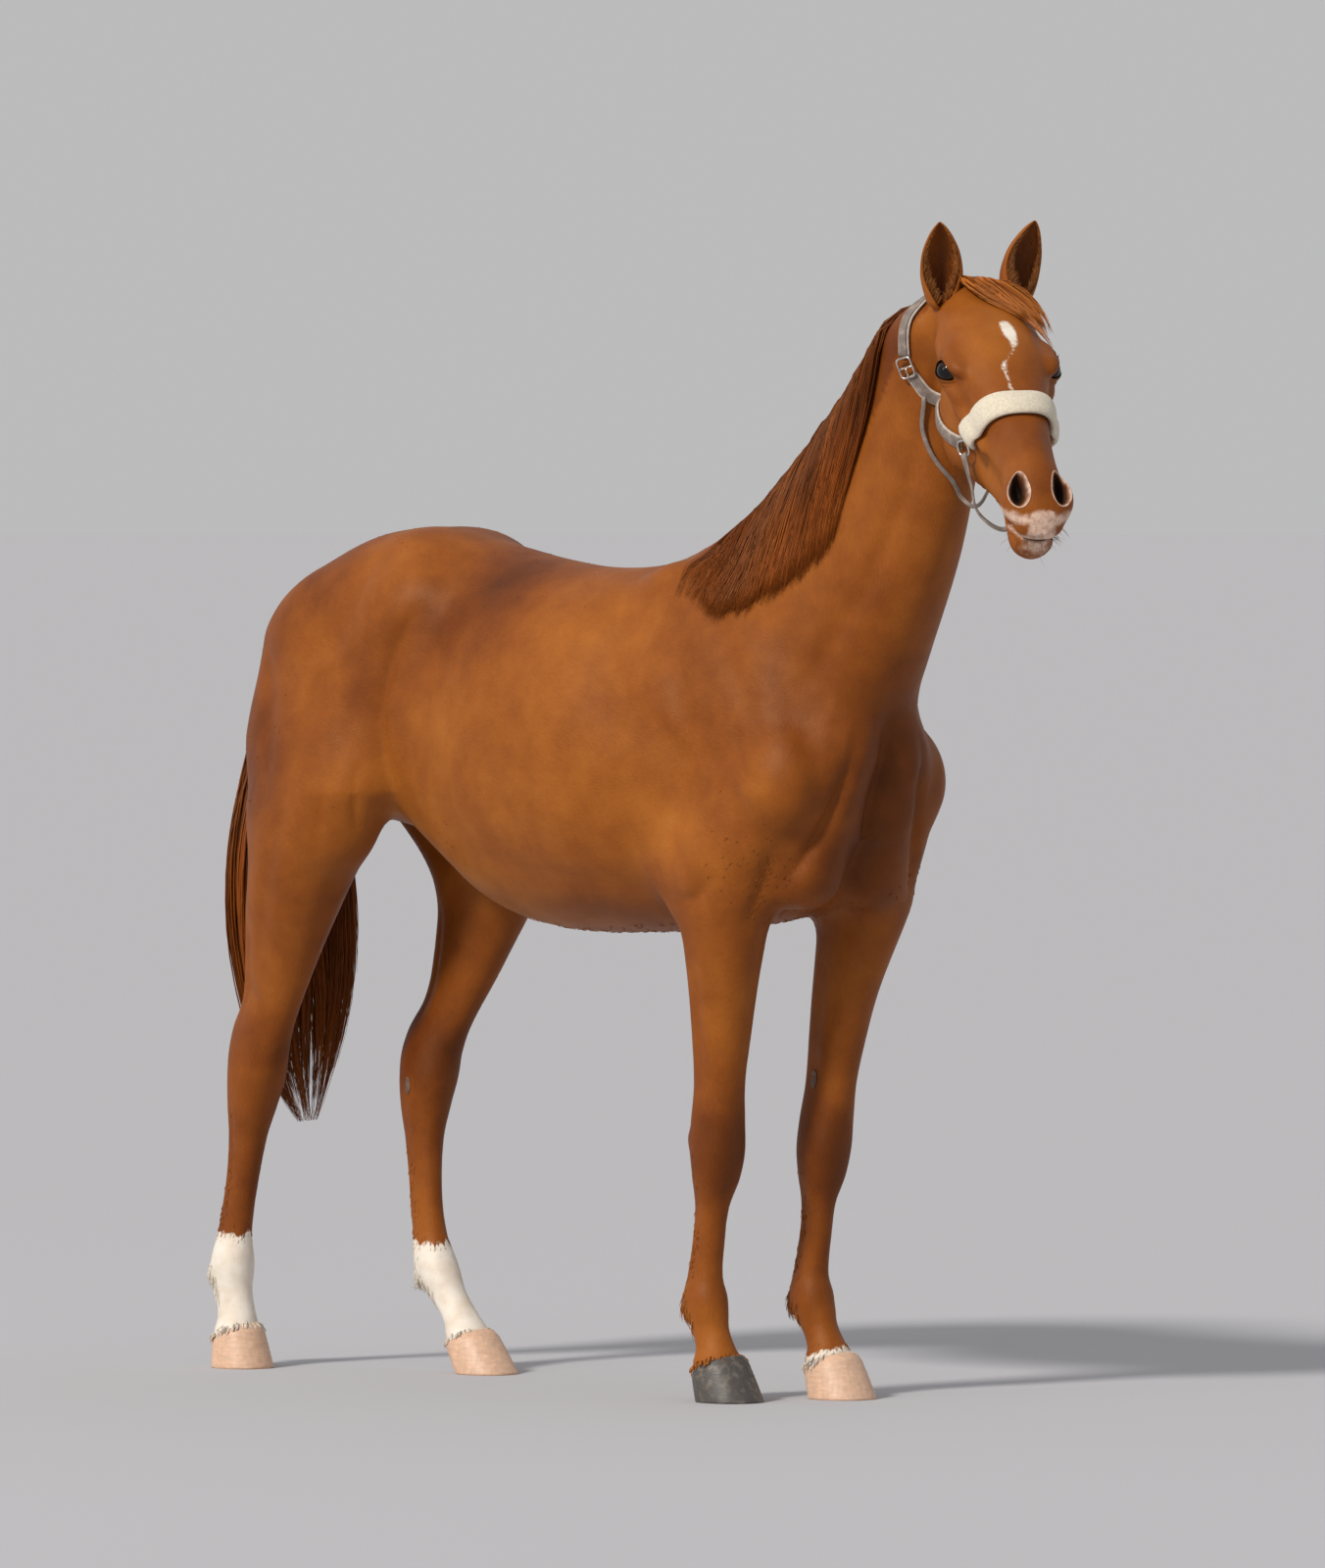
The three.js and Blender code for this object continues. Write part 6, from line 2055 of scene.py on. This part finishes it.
class HORSE_OT_tufts(bpy.types.Operator):
    """Tufts of short hair on the legs, under the body, on the jaw, in the ears and along the eyelids."""

    bl_idname = "horse.tufts"
    bl_label = "Tufts"

    def execute(self, context):
        settings = context.scene.horse
        p, facing, looks = read_skin()
        random = np.random.default_rng(11)
        material = coat_material(settings)
        for name, kinds in tuft_kinds(p, facing, looks).items():
            paths, widths, roots = tuft_paths(random, p, facing, kinds)
            values = {key: looks[key][roots] for key in LOOKS}
            # The tufts are painted lighter than the skin at their roots, to offset the shade on their own
            # sides.
            values["shade"] = values["shade"] + random.normal(0.4, 0.25, len(roots))
            made = add_hair(name, paths, widths, (0.0, -1.0, 0.3), material, "coat")
            for key in LOOKS:
                put_attribute(made, key, np.repeat(values[key], paths.shape[1] * 3))

        def single_hairs(name, paths, thin, thick, side, colour):
            widths = random.uniform(thin, thick, len(paths))
            add_hair(name, paths, widths, side, hair_material(name, colour), "coat")

        paths = whisker_paths(random, p, facing, 90)
        single_hairs("whiskers", paths, 0.3, 0.5, (0.0, -1.0, 0.3), settings.ear_hair_colour)
        hairs = 1100
        paths = np.concatenate([ear_hairs(random, side, hairs) for side, _ in SIDES])
        single_hairs("ear_hair", paths, 0.45, 0.9, (0.4, -1.0, 0.3), settings.ear_hair_colour)
        paths = np.concatenate([lash_paths(random, side, 24) for side, _ in SIDES])
        single_hairs("lashes", paths, 0.3, 0.45, (0.0, 0.3, 1.0), settings.lash_colour)
        return {"FINISHED"}


class HORSE_OT_headcollar(bpy.types.Operator):
    """Leather headcollar with padded straps, a fleece noseband, buckles and rings."""

    bl_idname = "horse.headcollar"
    bl_label = "Headcollar"

    def execute(self, context):
        settings = context.scene.horse
        leather, padding = leather_material(settings), padding_material(settings)
        fleece, metal = fleece_material(settings), metal_material()
        under, top = strap_profile(25, -1, 3.2, 1.8), strap_profile(18, 2.6, 5.6)

        def strap(name, mesh, material, node=None):
            add_piece(name, [mesh], material, "halter_leather", [f"halter_{node}"] if node else ())

        crown = mirrored(CROWN)
        strap("crown_padding", strap_mesh(crown, under, 70), padding)
        strap("crown_leather", strap_mesh(crown, top, 70), leather, "crown_strap")
        chin = strap_mesh(mirrored(CHIN), strap_profile(18, 0, 4), 50, False)
        strap("chin_leather", chin, leather, "chin_strap")
        throat = strap_mesh(mirrored(THROAT), strap_profile(8, 0, 3.4), 60, False, tuck=3.0)
        strap("throat_leather", throat, leather, "throat_strap")
        cos = [math.cos(a) for a in circle(24)]
        section = [
            (27 * math.copysign(abs(c) ** 0.8, c), 5 + 8 * math.sin(a)) for c, a in zip(cos, circle(24))
        ]
        sleeve = strap_mesh(mirrored(SLEEVE), section[::-1], 60)
        add_piece("noseband_fleece", [sleeve], fleece, "fleece", ["halter_nose_sleeve"])
        for side, label in SIDES:
            cheek = on_side(CHEEK, side)
            strap(f"cheek_padding_{label}", strap_mesh(cheek, under, 36), padding)
            strap(f"cheek_leather_{label}", strap_mesh(cheek, top, 36), leather, f"cheek_strap_{label}")
            tab = strap_mesh(on_side(TAB, side), strap_profile(20, 0, 4.5), 14)
            strap(f"nose_leather_{label}", tab, leather, f"nose_strap_{label}")
            at, below = on_side([[8, -164, -91], CHEEK[0]], side)
            buckle = [
                ring_mesh(at, below, (15, 18), 2.2, 8.5, 6),
                bar_mesh(at, below, (-15, 0, 0), (15, 0, 0), 1.8, 8.5),
                bar_mesh(at, below, (0, 0, 0.5), (0, 20, 2.2), 1.6, 8.5),
            ]
            add_piece(f"buckle_{label}", buckle, metal, "steel", [f"halter_buckle_{label}"])
            at, forward = on_side([RING, TAB[0]], side)
            ring = ring_mesh(at, forward, (14, 17), 2.6, 10, 2.6)
            add_piece(f"ring_{label}", [ring], metal, "steel", [f"halter_ring_{label}"])
        return {"FINISHED"}


# The view is taken from the front right: degrees from the horse's side, metres away and metres high,
# then how many degrees it looks down, and the lens in millimetres.
VIEW_TURN, VIEW_AWAY, VIEW_HIGH = 47.0, 24.0, 1.582
VIEW_TILT, LENS = 1.142, 304.6
FLOOR_RADIUS, FLOOR_SIDES = 1500.0, 96


class HORSE_OT_stage(bpy.types.Operator):
    """Floor, light and camera."""

    bl_idname = "horse.stage"
    bl_label = "Stage"

    def execute(self, context):
        settings = context.scene.horse
        angle = math.radians(VIEW_TURN)
        side = Vector((math.cos(angle), math.sin(angle), 0))
        towards = Vector((math.sin(angle), -math.cos(angle), 0))
        mesh = bpy.data.meshes.new("floor")
        ring = [(FLOOR_RADIUS * math.cos(a), FLOOR_RADIUS * math.sin(a), 0) for a in circle(FLOOR_SIDES)]
        mesh.from_pydata(ring, [], [list(range(FLOOR_SIDES))])
        floor = bpy.data.objects.new("floor", mesh)
        context.scene.collection.objects.link(floor)
        look = {"Base Color": settings.floor_colour, "Roughness": 0.9, "Specular IOR Level": 0.1}
        mesh.materials.append(Nodes("floor").surface(look))
        floor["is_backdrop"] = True

        world = bpy.data.worlds.new("studio")
        world.use_nodes = True
        world.node_tree.nodes["Background"].inputs["Color"].default_value = (1.0, 1.0, 1.0, 1)
        world.node_tree.nodes["Background"].inputs["Strength"].default_value = 0.5
        context.scene.world = world

        def hang(name, kind, aim, energy, tint):
            """A lamp nine metres from the horse's middle that shines on it."""
            light = bpy.data.lights.new(name, kind)
            light.energy = energy
            light.color = tint
            lamp = bpy.data.objects.new(name, light)
            context.scene.collection.objects.link(lamp)
            lamp.location = Vector((0, 0, 1.1)) + aim.normalized() * 9
            lamp.rotation_euler = aim.to_track_quat("Z", "Y").to_euler()
            return light

        aim = -0.55 * side + 0.6 * towards + Vector((0, 0, 0.62))
        hang("key", "SUN", aim, 2.7, (1, 0.95, 0.87)).angle = math.radians(9)
        aim = -0.9 * side + 0.5 * towards + Vector((0, 0, 0.5))
        fill = hang("fill", "AREA", aim, 60, (1, 0.98, 0.95))
        fill.shape = "DISK"
        fill.size = 3

        camera_data = bpy.data.cameras.new("camera")
        camera_data.sensor_width = 36
        camera_data.lens = LENS
        camera_data.clip_end = 4000
        camera = bpy.data.objects.new("camera", camera_data)
        context.scene.collection.objects.link(camera)
        camera.location = VIEW_AWAY * towards - 0.0424 * side + Vector((-0.005, 0.02, VIEW_HIGH))
        camera.rotation_euler = (math.radians(90 - VIEW_TILT), 0, angle)
        context.scene.camera = camera
        context.scene.view_settings.view_transform = "Standard"
        return {"FINISHED"}


class HORSE_PT_panel(bpy.types.Panel):
    """Lists the operators that build the horse."""

    bl_idname = "HORSE_PT_panel"
    bl_label = "Horse"
    bl_space_type = "VIEW_3D"
    bl_region_type = "UI"
    bl_category = "Horse"

    def draw(self, context):
        for name in HorseSettings.__annotations__:
            self.layout.prop(context.scene.horse, name)
        for operator in OPERATORS:
            self.layout.operator(operator.bl_idname)


OPERATORS = (
    HORSE_OT_skin,
    HORSE_OT_eyes,
    HORSE_OT_hooves,
    HORSE_OT_hair,
    HORSE_OT_tufts,
    HORSE_OT_headcollar,
    HORSE_OT_stage,
)
CLASSES = (HorseSettings, *OPERATORS, HORSE_PT_panel)


def register():
    for each in CLASSES:
        bpy.utils.register_class(each)
    bpy.types.Scene.horse = bpy.props.PointerProperty(type=HorseSettings)


def unregister():
    del bpy.types.Scene.horse
    for each in reversed(CLASSES):
        bpy.utils.unregister_class(each)


def main():
    register()
    bpy.ops.horse.skin()
    bpy.ops.horse.eyes()
    bpy.ops.horse.hooves()
    bpy.ops.horse.hair()
    bpy.ops.horse.tufts()
    bpy.ops.horse.headcollar()
    bpy.ops.horse.stage()
    boxes = [[list(map(float, corner)) for corner in box] for box in (CAD_BOX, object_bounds())]


if __name__ == "__main__":
    main()
